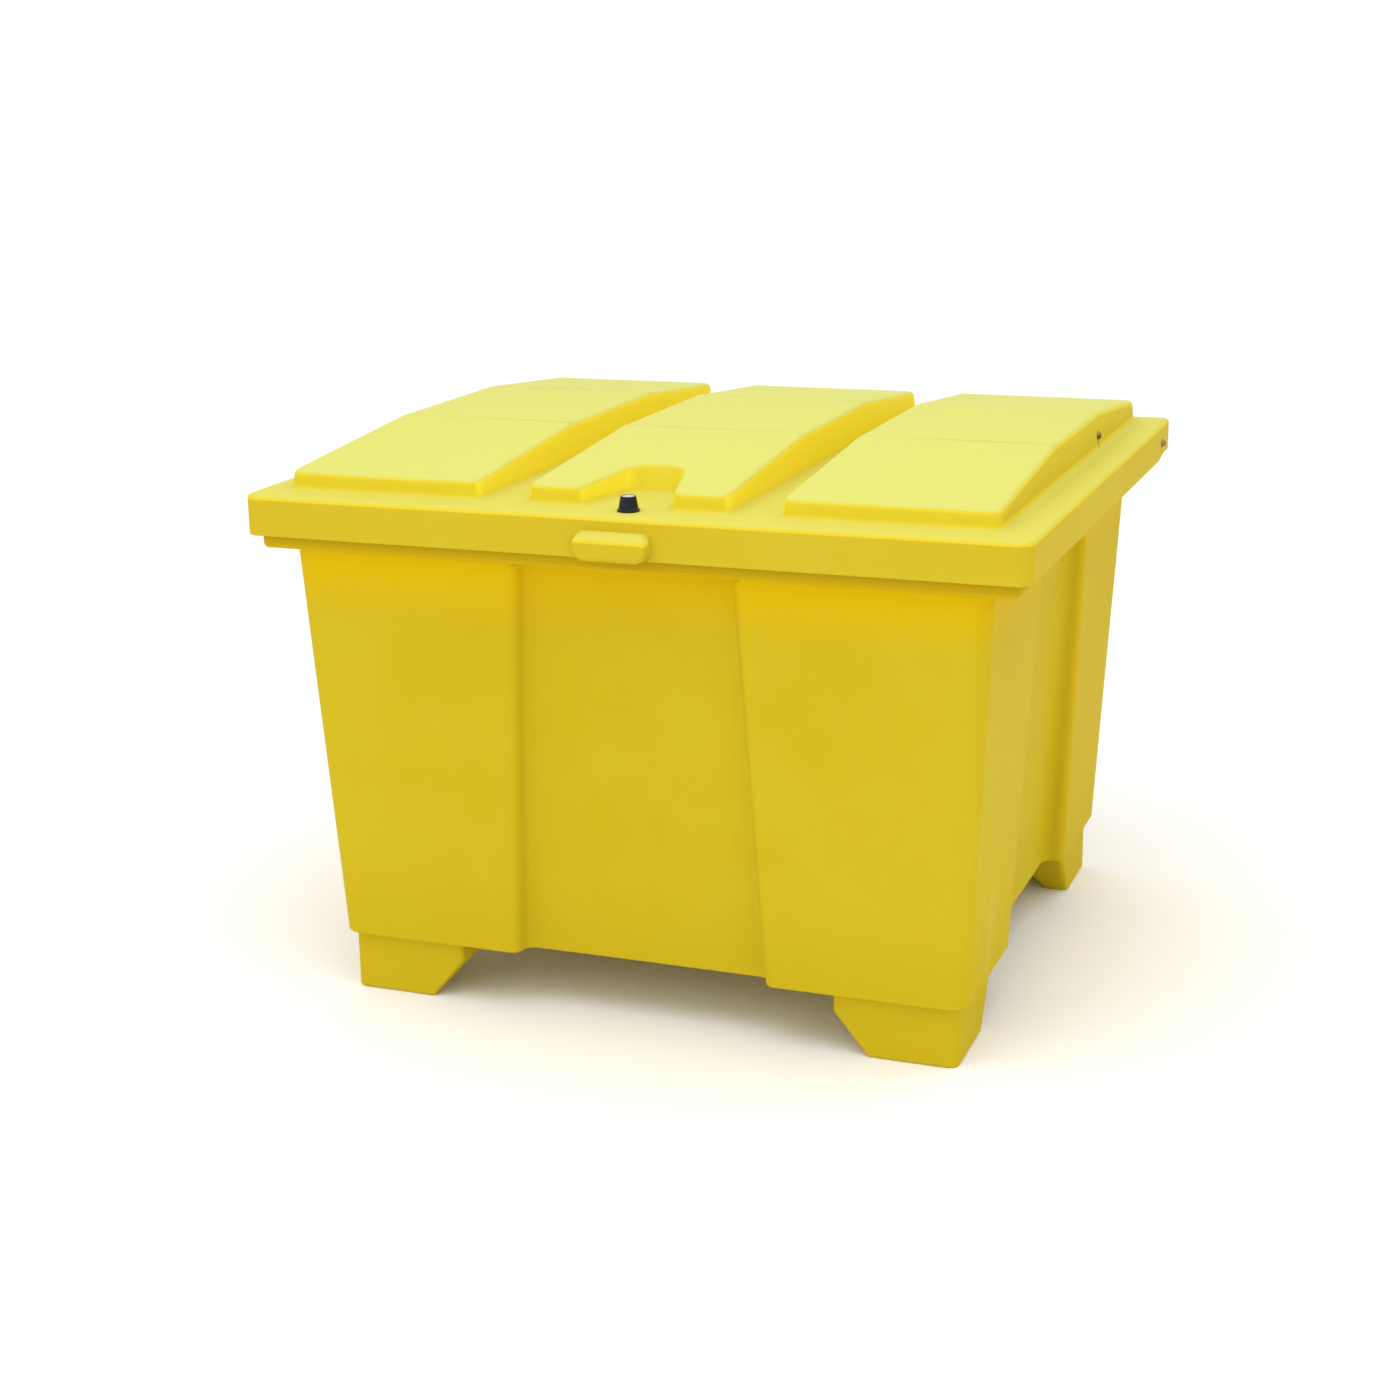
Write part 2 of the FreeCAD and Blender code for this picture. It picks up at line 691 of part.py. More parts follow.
def make_hinge():
    """The right-hand hinge: bolt, bush in the skirt, spacer to the rim, washer and lock nut."""
    skirt_in = lid_half - wall
    rim_in = rim_half - wall
    nut_x = rim_in - washer_thickness
    loose = hinge_bolt_radius + running_gap
    flange_x = skirt_in - bush_flange_thickness
    bush = rod_x(hinge_y, hinge_z, hinge_bolt_radius + bush_wall, skirt_in, lid_half)
    bush = bush.fuse(rod_x(hinge_y, hinge_z, bush_flange_radius, flange_x, skirt_in))
    bolt_x = nut_x - lock_nut_height - bolt_end
    return {
        "hinge_bolt": dome_bolt(lid_half + rest_gap, hinge_y, hinge_z, bolt_x, hinge_bolt_radius),
        "hinge_bush": bush.cut(rod_x(hinge_y, hinge_z, loose, flange_x - overrun, lid_half + overrun)),
        "hinge_spacer": ring_x(hinge_y, hinge_z, spacer_radius, loose, rim_half, flange_x - rest_gap),
        "hinge_washer": ring_x(hinge_y, hinge_z, washer_radius, loose, nut_x, rim_in),
        "hinge_nut": lock_nut(nut_x, hinge_y, hinge_z),
    }


def along_strut(solid):
    """Moves a piece from the Z axis, foot at the origin, onto the strut's line."""
    lean = math.degrees(math.atan2(strut_foot_y - strut_lid_y, strut_lid_z - strut_foot_z))
    turn = FreeCAD.Rotation(V(1, 0, 0), lean)
    placed = solid.copy()
    placed.Placement = FreeCAD.Placement(V(strut_plane_x, strut_foot_y, strut_foot_z), turn)
    return placed


def eye(centre, away, bore):
    """Eye across X at a height on the Z axis, with a neck that reaches away up or down."""
    low = min(centre, centre + away)
    high = max(centre, centre + away)
    half = eye_thickness / 2
    form = rod_x(0, centre, eye_radius, -half, half).fuse(rod_z(0, 0, eye_neck_radius, low, high))
    return form.cut(rod_x(0, centre, bore, -half - overrun, half + overrun))


def make_strut():
    """The right-hand gas strut at rest, with the pin that joins it to the lid."""
    tube_z = eye_reach
    tube_top = tube_z + tube_length
    tube_bore = tube_radius - tube_wall
    piston_z = tube_z + piston_rest
    rod_top = strut_length - eye_reach
    tube = rod_z(0, 0, tube_radius, tube_z, tube_top)
    tube = tube.cut(rod_z(0, 0, tube_bore, tube_z + tube_end, tube_top + overrun))
    guide = rod_z(0, 0, tube_bore, tube_top - guide_length, tube_top)
    piston = rod_z(0, 0, tube_bore - running_gap, piston_z, piston_z + piston_length)
    rod = rod_z(0, 0, rod_radius, piston_z, rod_top)
    half = eye_thickness / 2
    head_x = strut_plane_x - half - pin_head_thickness
    pin = rod_x(strut_lid_y, strut_lid_z, eye_pin_radius, head_x, lid_pin_end_x)
    pin = pin.fuse(rod_x(strut_lid_y, strut_lid_z, pin_collar_radius, head_x, strut_plane_x - half))
    pin = pin.fuse(rod_x(strut_lid_y, strut_lid_z, pin_collar_radius, strut_plane_x + half, lid_pin_end_x))
    through = rod_z(0, 0, rod_radius + running_gap, tube_z, tube_top + overrun)
    return {
        "strut_cylinder": along_strut(tube),
        "strut_guide": along_strut(guide.cut(through)),
        "strut_foot_eye": along_strut(eye(0, eye_reach, eye_pin_radius + running_gap)),
        "strut_rod": along_strut(rod),
        "strut_piston": along_strut(piston.cut(rod_z(0, 0, rod_radius, piston_z - overrun, rod_top))),
        "strut_head_eye": along_strut(eye(strut_length, -eye_reach, eye_pin_radius)),
        "strut_lid_pin": pin,
    }


def make_strut_bolt():
    """The dome-headed bolt through the right panel's side wall, with its washer and lock nut."""
    nut_x = lid_bolt_washer_x - washer_thickness
    y, z = strut_lid_y, strut_lid_z
    loose = hinge_bolt_radius + running_gap
    return {
        "strut_lid_bolt": dome_bolt(lid_bolt_seat_x, y, z, nut_x - lock_nut_height, hinge_bolt_radius),
        "strut_lid_washer": ring_x(y, z, washer_radius, loose, nut_x, lid_bolt_washer_x),
        "strut_lid_nut": lock_nut(nut_x, y, z),
    }


def make_bracket():
    """The right-hand bracket on the tub, with its pin, retaining clip, screws and moulded-in inserts."""
    plate_x = boss_face_x - bracket_thickness
    half = eye_thickness / 2
    eye_in = strut_plane_x - half - rest_gap
    outline = rectangle(strut_foot_y - bracket_width / 2, bracket_middle_z - bracket_height / 2,
                        strut_foot_y + bracket_width / 2, bracket_middle_z + bracket_height / 2,
                        bracket_corner_radius)
    plate = column(outline, at_x(plate_x), V(bracket_thickness, 0, 0))
    shoulder = rod_x(strut_foot_y, strut_foot_z, pin_collar_radius, strut_plane_x + half + rest_gap, plate_x)
    pin = rod_x(strut_foot_y, strut_foot_z, eye_pin_radius, eye_in - 2 * clip_thickness, plate_x)
    plate = plate.fuse([shoulder, pin]).removeSplitter()
    screws = []
    inserts = []
    for y in bracket_screw_ys():
        z = bracket_screw_z
        plate = plate.cut(rod_x(y, z, screw_radius + running_gap, plate_x - overrun, boss_face_x + overrun))
        head = rod_x(y, z, screw_head_radius, plate_x - screw_head_height, plate_x)
        shank = rod_x(y, z, screw_radius, plate_x, boss_face_x + insert_length - screw_short_of_insert)
        screws.append(head.fuse(shank))
        inserts.append(ring_x(y, z, insert_radius, screw_radius, boss_face_x, boss_face_x + insert_length))
    clip = ring_x(strut_foot_y, strut_foot_z, pin_collar_radius, eye_pin_radius, eye_in - clip_thickness,
                  eye_in)
    return {
        "strut_bracket": plate,
        "bracket_clip": clip,
        "bracket_screws": Part.makeCompound(screws),
        "bracket_inserts": Part.makeCompound(inserts),
    }


def make_lock():
    """The lock: housing, gasket, barrel and nut on the lid, and the rotor, cam and screw that turn in it."""
    here = V(lock_x, lock_y, housing_z)
    up = V(0, 0, 1)
    mouth = barrel_radius + barrel_below_cone
    top = housing_height
    housing = turned([(barrel_radius, 0), (housing_flange_radius, 0),
                      (housing_flange_radius, housing_flange_height / 2),
                      (housing_cone_foot_radius, housing_flange_height), (housing_cone_top_radius, top),
                      (mouth, top), (mouth, top - barrel_below_cone),
                      (barrel_radius, top - barrel_below_cone)], here, up)
    gasket = rod_z(lock_x, lock_y, gasket_radius, lid_top_z, housing_z)
    barrel = rod_z(lock_x, lock_y, barrel_radius, barrel_foot_z, barrel_top_z)
    shaft_way = rod_z(lock_x, lock_y, rotor_radius + running_gap, barrel_foot_z - overrun,
                      barrel_top_z + overrun)
    nut_z = lid_under_z - lock_ring_nut_height
    nut = column(moved_outline(hexagon(lock_ring_nut_flats), lock_x, lock_y), at_z(nut_z),
                 V(0, 0, lock_ring_nut_height))
    bore = rod_z(lock_x, lock_y, barrel_radius, nut_z - overrun, housing_z + overrun)
    cam_z = cam_top_z - cam_thickness
    side = rotor_square / 2
    square = block(lock_x - side, lock_y - side, cam_z, lock_x + side, lock_y + side, cam_top_z)
    rotor_top = barrel_top_z - rest_gap
    slot = block(lock_x - key_slot_length / 2, lock_y - key_slot_width / 2, rotor_top - key_slot_depth,
                 lock_x + key_slot_length / 2, lock_y + key_slot_width / 2, rotor_top + overrun)
    thread = rod_z(lock_x, lock_y, cam_screw_radius, cam_z, cam_z + cam_screw_length)
    rotor = rod_z(lock_x, lock_y, rotor_radius, cam_top_z, rotor_top).fuse(square)
    half = cam_width / 2
    arm = rectangle(lock_x - half, lock_y - half, lock_x + cam_reach, lock_y + half, cam_corner_radius)
    cam = column(arm, at_z(cam_z), V(0, 0, cam_thickness))
    screw_head = rod_z(lock_x, lock_y, cam_screw_head_radius, cam_z - cam_screw_head_height, cam_z)
    return {
        "lock_housing": housing,
        "lock_gasket": gasket.cut(bore),
        "lock_barrel": barrel.cut(shaft_way),
        "lock_nut": nut.cut(bore),
        "lock_rotor": rotor.cut([slot, thread]),
        "lock_cam": cam.cut(square),
        "lock_cam_screw": screw_head.fuse(thread),
    }


def make_strike():
    """The strike plate inside the front rim and the two rivets that hold it."""
    x0 = lock_x - strike_width / 2
    x1 = lock_x + strike_width / 2
    back_y = strike_face_y + strike_thickness
    top_z = strike_z + strike_thickness
    plate = block(x0, strike_face_y, top_z - strike_leg, x1, back_y, top_z)
    plate = plate.fuse(block(x0, strike_face_y, strike_z, x1, back_y + strike_flange, top_z)).removeSplitter()
    rivets = []
    for x in rivet_xs():
        outside = V(x, rim_front_y - rivet_head_height, rivet_z)
        inside = V(x, back_y, rivet_z)
        shank = Part.makeCylinder(rivet_radius, back_y - rim_front_y, V(x, rim_front_y, rivet_z), V(0, 1, 0))
        plate = plate.cut(shank)
        for at in (outside, inside):
            shank = shank.fuse(Part.makeCylinder(rivet_head_radius, rivet_head_height, at, V(0, 1, 0)))
        rivets.append(shank)
    return {"strike_plate": plate, "strike_rivets": Part.makeCompound(rivets)}


def make_all():
    """Every piece of the bin by name."""
    pieces = {"tub": make_tub(), "lid": make_lid()}
    pieces.update(make_lock())
    pieces.update(make_strike())
    for group in (make_hinge(), make_strut(), make_strut_bolt(), make_bracket()):
        for name, solid in group.items():
            pieces[name + "_right"] = solid
            pieces[name + "_left"] = mirrored(solid)
    return pieces


if __name__ == "__main__":
    os.makedirs("parts", exist_ok=True)
    for name, solid in make_all().items():
        solid.exportStep("parts/" + name + ".step")
        state = "valid" if solid.isValid() else "NOT VALID"
        print(name, state, len(solid.Solids), round(solid.Volume / 1000, 2))
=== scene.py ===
"""Looks of a forkliftable grit salt bin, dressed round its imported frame.

Lengths are in metres. X runs to the right, Y to the back and Z up, as in the frame.
"""
import json
import logging
import math
from dataclasses import dataclass
from enum import Enum
from typing import Any, Optional, Sequence, Union

import bmesh
import bpy
import numpy as np
from mathutils import Matrix, Vector


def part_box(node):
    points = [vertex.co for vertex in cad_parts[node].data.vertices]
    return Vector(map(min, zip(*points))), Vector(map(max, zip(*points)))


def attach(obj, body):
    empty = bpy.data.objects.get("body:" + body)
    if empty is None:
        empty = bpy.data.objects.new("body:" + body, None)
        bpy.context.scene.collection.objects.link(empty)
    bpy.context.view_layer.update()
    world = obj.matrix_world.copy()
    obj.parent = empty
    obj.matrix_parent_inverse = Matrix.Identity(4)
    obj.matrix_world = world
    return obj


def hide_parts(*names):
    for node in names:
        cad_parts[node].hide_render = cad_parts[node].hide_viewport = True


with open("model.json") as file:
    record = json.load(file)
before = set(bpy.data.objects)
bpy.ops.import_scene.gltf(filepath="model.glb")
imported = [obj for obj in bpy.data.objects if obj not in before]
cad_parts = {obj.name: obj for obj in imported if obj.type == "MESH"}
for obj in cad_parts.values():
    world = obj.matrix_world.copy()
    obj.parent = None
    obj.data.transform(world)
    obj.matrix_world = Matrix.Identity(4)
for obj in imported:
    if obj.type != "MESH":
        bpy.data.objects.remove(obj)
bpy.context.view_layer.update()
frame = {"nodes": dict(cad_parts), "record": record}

LOG = logging.getLogger("grit_bin")
MM = 0.001
MERGE = 0.002 * MM      # points nearer than this are one
AREA_WEIGHT = 60        # how much more a broad face counts in even shading
TURNED_SHARP = 35.0     # degrees above which an edge of a turned piece stays crisp

Colour = tuple[float, float, float]
Place = tuple[float, float, float]
Step = tuple[float, float]
Outline = list[tuple[float, float]]     # radius and height of each point
Feed = Union["Sock", float, int, bool, str, Sequence[float], bpy.types.ID]


class Side(Enum):
    """The bin's two sides, seen from the front."""

    LEFT = "left"
    RIGHT = "right"

    @property
    def sign(self) -> int:
        """Direction along X in which this side lies."""
        return 1 if self is Side.RIGHT else -1

    def named(self, piece: str) -> str:
        """Name of this side's copy of a piece."""
        return f"{piece}_{self.value}"


class Slot(Enum):
    """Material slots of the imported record."""

    MOULDING = "yellow_polyethylene"
    HOUSING = "black_plastic"
    NYLON = "nylon"
    RUBBER = "rubber"
    LOCK_CHROME = "chromed_lock"
    ROD_CHROME = "polished_rod"
    STAINLESS = "stainless_steel"
    ZINC = "zinc_steel"
    PAINT = "black_paint"
    BRASS = "brass_insert"


class Sock:
    """One value in a node tree, with the arithmetic that the trees use."""

    def __init__(self, sheet: "Sheet", socket: bpy.types.NodeSocket) -> None:
        """Wraps one output socket of a tree."""
        self.sheet = sheet
        self.socket = socket

    def _with(self, operation: str, left: Feed, right: Feed) -> "Sock":
        """A Math node on two values."""
        return self.sheet.add("ShaderNodeMath", {"operation": operation}, {0: left, 1: right})

    def __add__(self, other: Feed) -> "Sock":
        """Sum."""
        return self._with("ADD", self, other)

    def __radd__(self, other: Feed) -> "Sock":
        """Sum with a plain number first."""
        return self._with("ADD", other, self)

    def __sub__(self, other: Feed) -> "Sock":
        """Difference."""
        return self._with("SUBTRACT", self, other)

    def __rsub__(self, other: Feed) -> "Sock":
        """Difference with a plain number first."""
        return self._with("SUBTRACT", other, self)

    def __mul__(self, other: Feed) -> "Sock":
        """Product."""
        return self._with("MULTIPLY", self, other)

    def __truediv__(self, other: Feed) -> "Sock":
        """Quotient."""
        return self._with("DIVIDE", self, other)

    def __abs__(self) -> "Sock":
        """Size without its sign."""
        return self.sheet.add("ShaderNodeMath", {"operation": "ABSOLUTE"}, {0: self})

    def ramped(self, low: float, high: float) -> "Sock":
        """The value turned into a smooth step.

        Args:
            low: Where the step leaves 0.
            high: Where the step reaches 1. It may be the lower number, for a falling step.

        Returns:
            A value from 0 to 1.
        """
        inputs = {"Value": self, "From Min": min(low, high), "From Max": max(low, high)}
        step = self.sheet.add("ShaderNodeMapRange", {"interpolation_type": "SMOOTHSTEP"}, inputs)
        return step if low < high else 1.0 - step


class Sheet:
    """A node tree while it is drawn up."""

    def __init__(self, tree: bpy.types.NodeTree) -> None:
        """Starts on an empty tree."""
        self.tree = tree

    def add(self, kind: str, settings: Optional[dict[str, Any]] = None,
            inputs: Optional[dict[Union[str, int], Feed]] = None, output: Union[str, int] = 0) -> Sock:
        """Adds one node.

        Args:
            kind: The node's type.
            settings: Properties of the node, set before its sockets.
            inputs: Values or links for its sockets, by name or number.
            output: The output to hand back, by name or number.

        Returns:
            The chosen output.
        """
        node = self.tree.nodes.new(kind)
        for name, value in (settings or {}).items():
            setattr(node, name, value)
        for key, value in (inputs or {}).items():
            if isinstance(value, Sock):
                self.tree.links.new(value.socket, node.inputs[key])
            else:
                node.inputs[key].default_value = value
        return Sock(self, node.outputs[output])

    def noise(self, place: Sock, waves: float, detail: float = 2.0) -> Sock:
        """Smooth noise in space.

        Args:
            place: Coordinates.
            waves: Waves per metre.
            detail: How many finer layers are added.

        Returns:
            The noise.
        """
        return self.add("ShaderNodeTexNoise", {}, {"Vector": place, "Scale": waves, "Detail": detail})


class ShaderSheet(Sheet):
    """A material while it is drawn up."""

    def __init__(self, name: str) -> None:
        """Starts an empty material of this name."""
        self.material = bpy.data.materials.new(name)
        self.material.use_nodes = True
        super().__init__(self.material.node_tree)
        self.tree.nodes.clear()
        self.place = self.add("ShaderNodeTexCoord", output="Object")

    def stretched(self, scale: Place, centre: Place = (0.0, 0.0, 0.0)) -> Sock:
        """Object coordinates about a centre, scaled along each axis.

        Args:
            scale: Scale along each axis.
            centre: The place that becomes the origin.

        Returns:
            The coordinates.
        """
        shift = tuple(-c * s for c, s in zip(centre, scale))
        return self.add("ShaderNodeMapping", {}, {"Vector": self.place, "Location": shift, "Scale": scale})

    def axis(self, vector: Sock, name: str) -> Sock:
        """One component of a vector, by its letter."""
        return self.add("ShaderNodeSeparateXYZ", {}, {"Vector": vector}, name)

    def mix(self, share: Feed, first: Feed, second: Feed) -> Sock:
        """Colour between two colours.

        Args:
            share: 0 for the first colour, 1 for the second.
            first: A colour or a link.
            second: A colour or a link.

        Returns:
            The colour.
        """
        colours = [c if isinstance(c, Sock) else (*c, 1.0) for c in (first, second)]
        return self.add("ShaderNodeMix", {"data_type": "RGBA"}, {0: share, 6: colours[0], 7: colours[1]}, 2)

    def bump(self, height: Sock, distance: float, strength: float) -> Sock:
        """Normal of a rough surface from its height."""
        return self.add("ShaderNodeBump", {}, {"Height": height, "Distance": distance, "Strength": strength})

    def surface(self, inputs: dict[str, Feed]) -> bpy.types.Material:
        """Closes the material with one shader.

        Args:
            inputs: Values or links for the shader's sockets.

        Returns:
            The finished material.
        """
        shader = self.add("ShaderNodeBsdfPrincipled", {}, inputs)
        end = self.tree.nodes.new("ShaderNodeOutputMaterial")
        self.tree.links.new(shader.socket, end.inputs["Surface"])
        return self.material


class ShapeSheet(Sheet):
    """A Geometry Nodes tree with named inputs for its sizes."""

    KINDS = {float: "NodeSocketFloat", str: "NodeSocketObject"}

    def __init__(self, name: str, sizes: dict[str, Union[float, str]]) -> None:
        """Starts a tree.

        Args:
            name: The tree's name.
            sizes: Named inputs and their usual values. An empty str stands for an object.
        """
        super().__init__(bpy.data.node_groups.new(name, "GeometryNodeTree"))
        new_socket = self.tree.interface.new_socket
        new_socket("Geometry", in_out="INPUT", socket_type="NodeSocketGeometry")
        self.keys = {}
        for label, value in sizes.items():
            item = new_socket(label, in_out="INPUT", socket_type=self.KINDS[type(value)])
            if value:
                item.default_value = value
            self.keys[label] = item.identifier
        item = new_socket("Material", in_out="INPUT", socket_type="NodeSocketMaterial")
        self.keys["Material"] = item.identifier
        new_socket("Geometry", in_out="OUTPUT", socket_type="NodeSocketGeometry")
        self.entry = self.tree.nodes.new("NodeGroupInput")

    def given(self, label: str) -> Sock:
        """One of the tree's named inputs."""
        return Sock(self, self.entry.outputs[label])

    def joined(self, *shapes: Sock) -> Sock:
        """Several shapes as one."""
        node = self.tree.nodes.new("GeometryNodeJoinGeometry")
        for shape in shapes:
            self.tree.links.new(shape.socket, node.inputs[0])
        return Sock(self, node.outputs[0])

    def close(self, shape: Sock) -> None:
        """Ends the tree in plain geometry with its material."""
        real = self.add("GeometryNodeRealizeInstances", {}, {"Geometry": shape})
        painted = self.add("GeometryNodeSetMaterial", {},
                           {"Geometry": real, "Material": self.given("Material")})
        end = self.tree.nodes.new("NodeGroupOutput")
        self.tree.links.new(painted.socket, end.inputs[0])

    def grow(self, start: bpy.types.Mesh, material: bpy.types.Material,
             values: dict[str, Feed]) -> bpy.types.Mesh:
        """Runs the tree on a mesh.

        Args:
            start: The mesh that goes in.
            material: The material of what comes out.
            values: Values for the named inputs.

        Returns:
            The finished mesh.
        """
        carrier = linked(self.tree.name, start)
        modifier = carrier.modifiers.new(self.tree.name, "NODES")
        modifier.node_group = self.tree
        for label, value in {**values, "Material": material}.items():
            modifier[self.keys[label]] = value
        graph = bpy.context.evaluated_depsgraph_get()
        grown = bpy.data.meshes.new_from_object(carrier.evaluated_get(graph), depsgraph=graph)
        bpy.data.objects.remove(carrier)
        return grown


@dataclass(frozen=True)
class PaintedBoltShadow:
    """A painted shadow: a thin dark run below a bolt head."""

    head: Place
    length: float
    half_width: float
    ragged: float = 0.5
    ragged_waves: float = 160.0
    near: Step = (35.0 * MM, 25.0 * MM)
    width: Step = (1.1, 0.35)
    start: Step = (0.0, 0.12)
    end: Step = (1.0, 0.35)
    strength: float = 0.75


@dataclass(frozen=True)
class Scuff:
    """A patch of fine pale scratches, as an ellipsoid in space."""

    centre: Place
    reach: Place
    strength: float


@dataclass(frozen=True)
class Crease:
    """A faint line of painted shade across the raised panels, where their tops bend."""

    y: float
    half_width: float = 13.0 * MM
    wander: float = 16.0 * MM
    wander_waves: float = 7.0
    patchy_waves: float = 5.0
    patchy: Step = (0.35, 0.60)
    least: float = 0.12
    gain: float = 0.30


@dataclass(frozen=True)
class Tone:
    """A drift of the colour with height: full at one height and gone at another."""

    colour: Colour
    gone_z: float
    full_z: float
    strength: float = 1.0


@dataclass(frozen=True)
class MouldedPolyethylene:
    """Satin, slightly translucent rotationally moulded polyethylene.

    Each Step is the two ends of a Sock.ramped. Waves are per metre.
    """

    name: str
    scuffs: tuple[Scuff, ...] = ()
    bolt_shadows: tuple[PaintedBoltShadow, ...] = ()
    creases: tuple[Crease, ...] = ()
    tones: tuple[Tone, ...] = ()
    flat_top: float = 1.0
    colour: Colour = (0.575, 0.437, 0.018)
    deep: Colour = (0.565, 0.405, 0.011)
    # Painted light on faces that tilt up a little.
    painted_slope_light: Colour = (0.680, 0.540, 0.028)
    # Painted light on the side walls of the lid's raised panels.
    painted_channel_light: Colour = (0.850, 0.690, 0.040)
    # Painted light on up-facing ledges and on up-facing raised panel tops.
    painted_ledge_light: Colour = (0.569, 0.530, 0.099)
    painted_top_light: Colour = (0.554, 0.561, 0.141)
    chalk: Colour = (0.76, 0.70, 0.36)
    # Colour of the painted shadows below the bolt heads.
    bolt_shadow_colour: Colour = (0.16, 0.11, 0.03)
    # Colour of the painted shade along the creases.
    crease_shade: Colour = (0.45, 0.42, 0.065)
    roughness: float = 0.42
    gloss: float = 0.006
    glow: float = 0.10
    glow_radius: Place = (1.0, 0.45, 0.05)
    glow_depth: float = 10.0 * MM
    mottle_rough: float = 0.10
    peel_rough: float = 0.06
    chalk_rough: float = 0.25
    broad_waves: float = 1.6
    broad_share: float = 0.65
    mottle_waves: float = 9.0
    ripple_waves: float = 30.0
    peel_waves: float = 330.0
    peel_share: float = 0.4
    grain_height: float = 0.3 * MM
    grain_strength: float = 0.45
    clouds: Step = (0.36, 0.64)
    slopes: Step = (0.02, 0.15)
    tops: Step = (0.30, 0.88)
    least_top_light: float = 0.80
    round_edges: Step = (0.20, 0.60)
    side_walls: Step = (0.50, 0.90)
    inner_x: Step = (0.53, 0.50)
    wall_rise: Step = (3.0 * MM, 14.0 * MM)
    panel_rise: Step = (6.0 * MM, 24.0 * MM)
    cut_stretch: Place = (60.0, 60.0, 7.0)
    cut_width: Step = (0.05, 0.0)
    cut_waves: float = 26.0
    cut_patches: Step = (0.42, 0.62)
    cut_share: float = 0.40
    haze_stretch: Place = (30.0, 30.0, 10.0)
    haze_patches: Step = (0.45, 0.75)
    haze_share: float = 0.22
    scuff_fade: Step = (1.0, 0.25)

    def build(self) -> bpy.types.Material:
        """The finish as a material."""
        sheet = ShaderSheet(self.name)
        broad = sheet.noise(sheet.place, self.broad_waves, 2.0)
        mottle = sheet.noise(sheet.place, self.mottle_waves, 4.0)
        tone = broad * self.broad_share + mottle * (1.0 - self.broad_share)
        colour = sheet.mix(tone.ramped(*self.clouds), self.deep, self.colour)
        normal = sheet.add("ShaderNodeTexCoord", output="Normal")
        facing = sheet.axis(normal, "Z")
        height = sheet.axis(sheet.place, "Z")
        for drift in self.tones:
            share = height.ramped(drift.gone_z, drift.full_z) * drift.strength
            colour = sheet.mix(share, colour, drift.colour)
        # Painted light: faces that tilt up are drawn lighter.
        colour = sheet.mix(facing.ramped(*self.slopes), colour, self.painted_slope_light)
        # Painted light on the side walls of the raised panels, in the channels between them.
        above = (height - self.flat_top).ramped(*self.wall_rise)
        crisp = 1.0 - facing.ramped(*self.round_edges)
        sideways = abs(sheet.axis(normal, "X")).ramped(*self.side_walls) * crisp
        inner = abs(sheet.axis(sheet.place, "X")).ramped(*self.inner_x)
        colour = sheet.mix(above * sideways * inner, colour, self.painted_channel_light)
        # Painted light: faces that look up are drawn lighter, the raised panel tops palest, as if lit from
        # above.
        up = facing.ramped(*self.tops)
        raised = (height - self.flat_top).ramped(*self.panel_rise)
        pale = sheet.mix(raised, self.painted_ledge_light, self.painted_top_light)
        cover = self.least_top_light + mottle * (1.0 - self.least_top_light)
        colour = sheet.mix(up * cover, colour, pale)
        # Painted shade along the bends in the raised panel tops.
        for crease in self.creases:
            colour = sheet.mix(self._line(sheet, crease) * up * raised, colour, self.crease_shade)
        chalked = self._scratches(sheet)
        colour = sheet.mix(chalked, colour, self.chalk)
        # Painted shadows below the bolt heads, kept off faces that look up.
        for bolt_shadow in self.bolt_shadows:
            colour = sheet.mix(self._bolt_shadow_mask(sheet, bolt_shadow) * (1.0 - up), colour, self.bolt_shadow_colour)
        peel = sheet.noise(sheet.place, self.peel_waves, 2.0)
        ripple = sheet.noise(sheet.place, self.ripple_waves, 2.0)
        grain = peel * self.peel_share + ripple * (1.0 - self.peel_share)
        rough = self.roughness + (mottle - 0.5) * self.mottle_rough + (peel - 0.5) * self.peel_rough
        return sheet.surface({
            "Base Color": colour,
            "Roughness": rough + chalked * self.chalk_rough,
            "Normal": sheet.bump(grain, self.grain_height, self.grain_strength),
            "Specular IOR Level": self.gloss,
            "Subsurface Weight": self.glow,
            "Subsurface Radius": self.glow_radius,
            "Subsurface Scale": self.glow_depth,
        })

    def _line(self, sheet: ShaderSheet, crease: Crease) -> Sock:
        """Mask of the painted shade along one crease: a thin line that wanders a little and comes and goes.
        """
        wander = (sheet.noise(sheet.place, crease.wander_waves, 2.0) - 0.5) * crease.wander
        away = abs(sheet.axis(sheet.place, "Y") - crease.y + wander)
        patchy = sheet.noise(sheet.place, crease.patchy_waves, 3.0).ramped(*crease.patchy)
        return away.ramped(crease.half_width, 0.0) * (crease.least + patchy * crease.gain)

    def _scratches(self, sheet: ShaderSheet) -> Sock:
        """Mask of the pale scratches in every scuffed patch."""
        lines = sheet.add("ShaderNodeTexVoronoi", {"feature": "DISTANCE_TO_EDGE"},
                          {"Vector": sheet.stretched(self.cut_stretch), "Scale": 1.0})
        cuts = sheet.noise(sheet.place, self.cut_waves).ramped(*self.cut_patches)
        cuts = lines.ramped(*self.cut_width) * cuts
        haze = sheet.noise(sheet.stretched(self.haze_stretch), 1.0, 5.0).ramped(*self.haze_patches)
        total: Feed = 0.0
        for scuff in self.scuffs:
            scale = tuple(1.0 / r for r in scuff.reach)
            away = sheet.add("ShaderNodeVectorMath", {"operation": "LENGTH"},
                             {0: sheet.stretched(scale, scuff.centre)}, "Value")
            total = away.ramped(*self.scuff_fade) * scuff.strength + total
        return (cuts * self.cut_share + haze * self.haze_share) * total

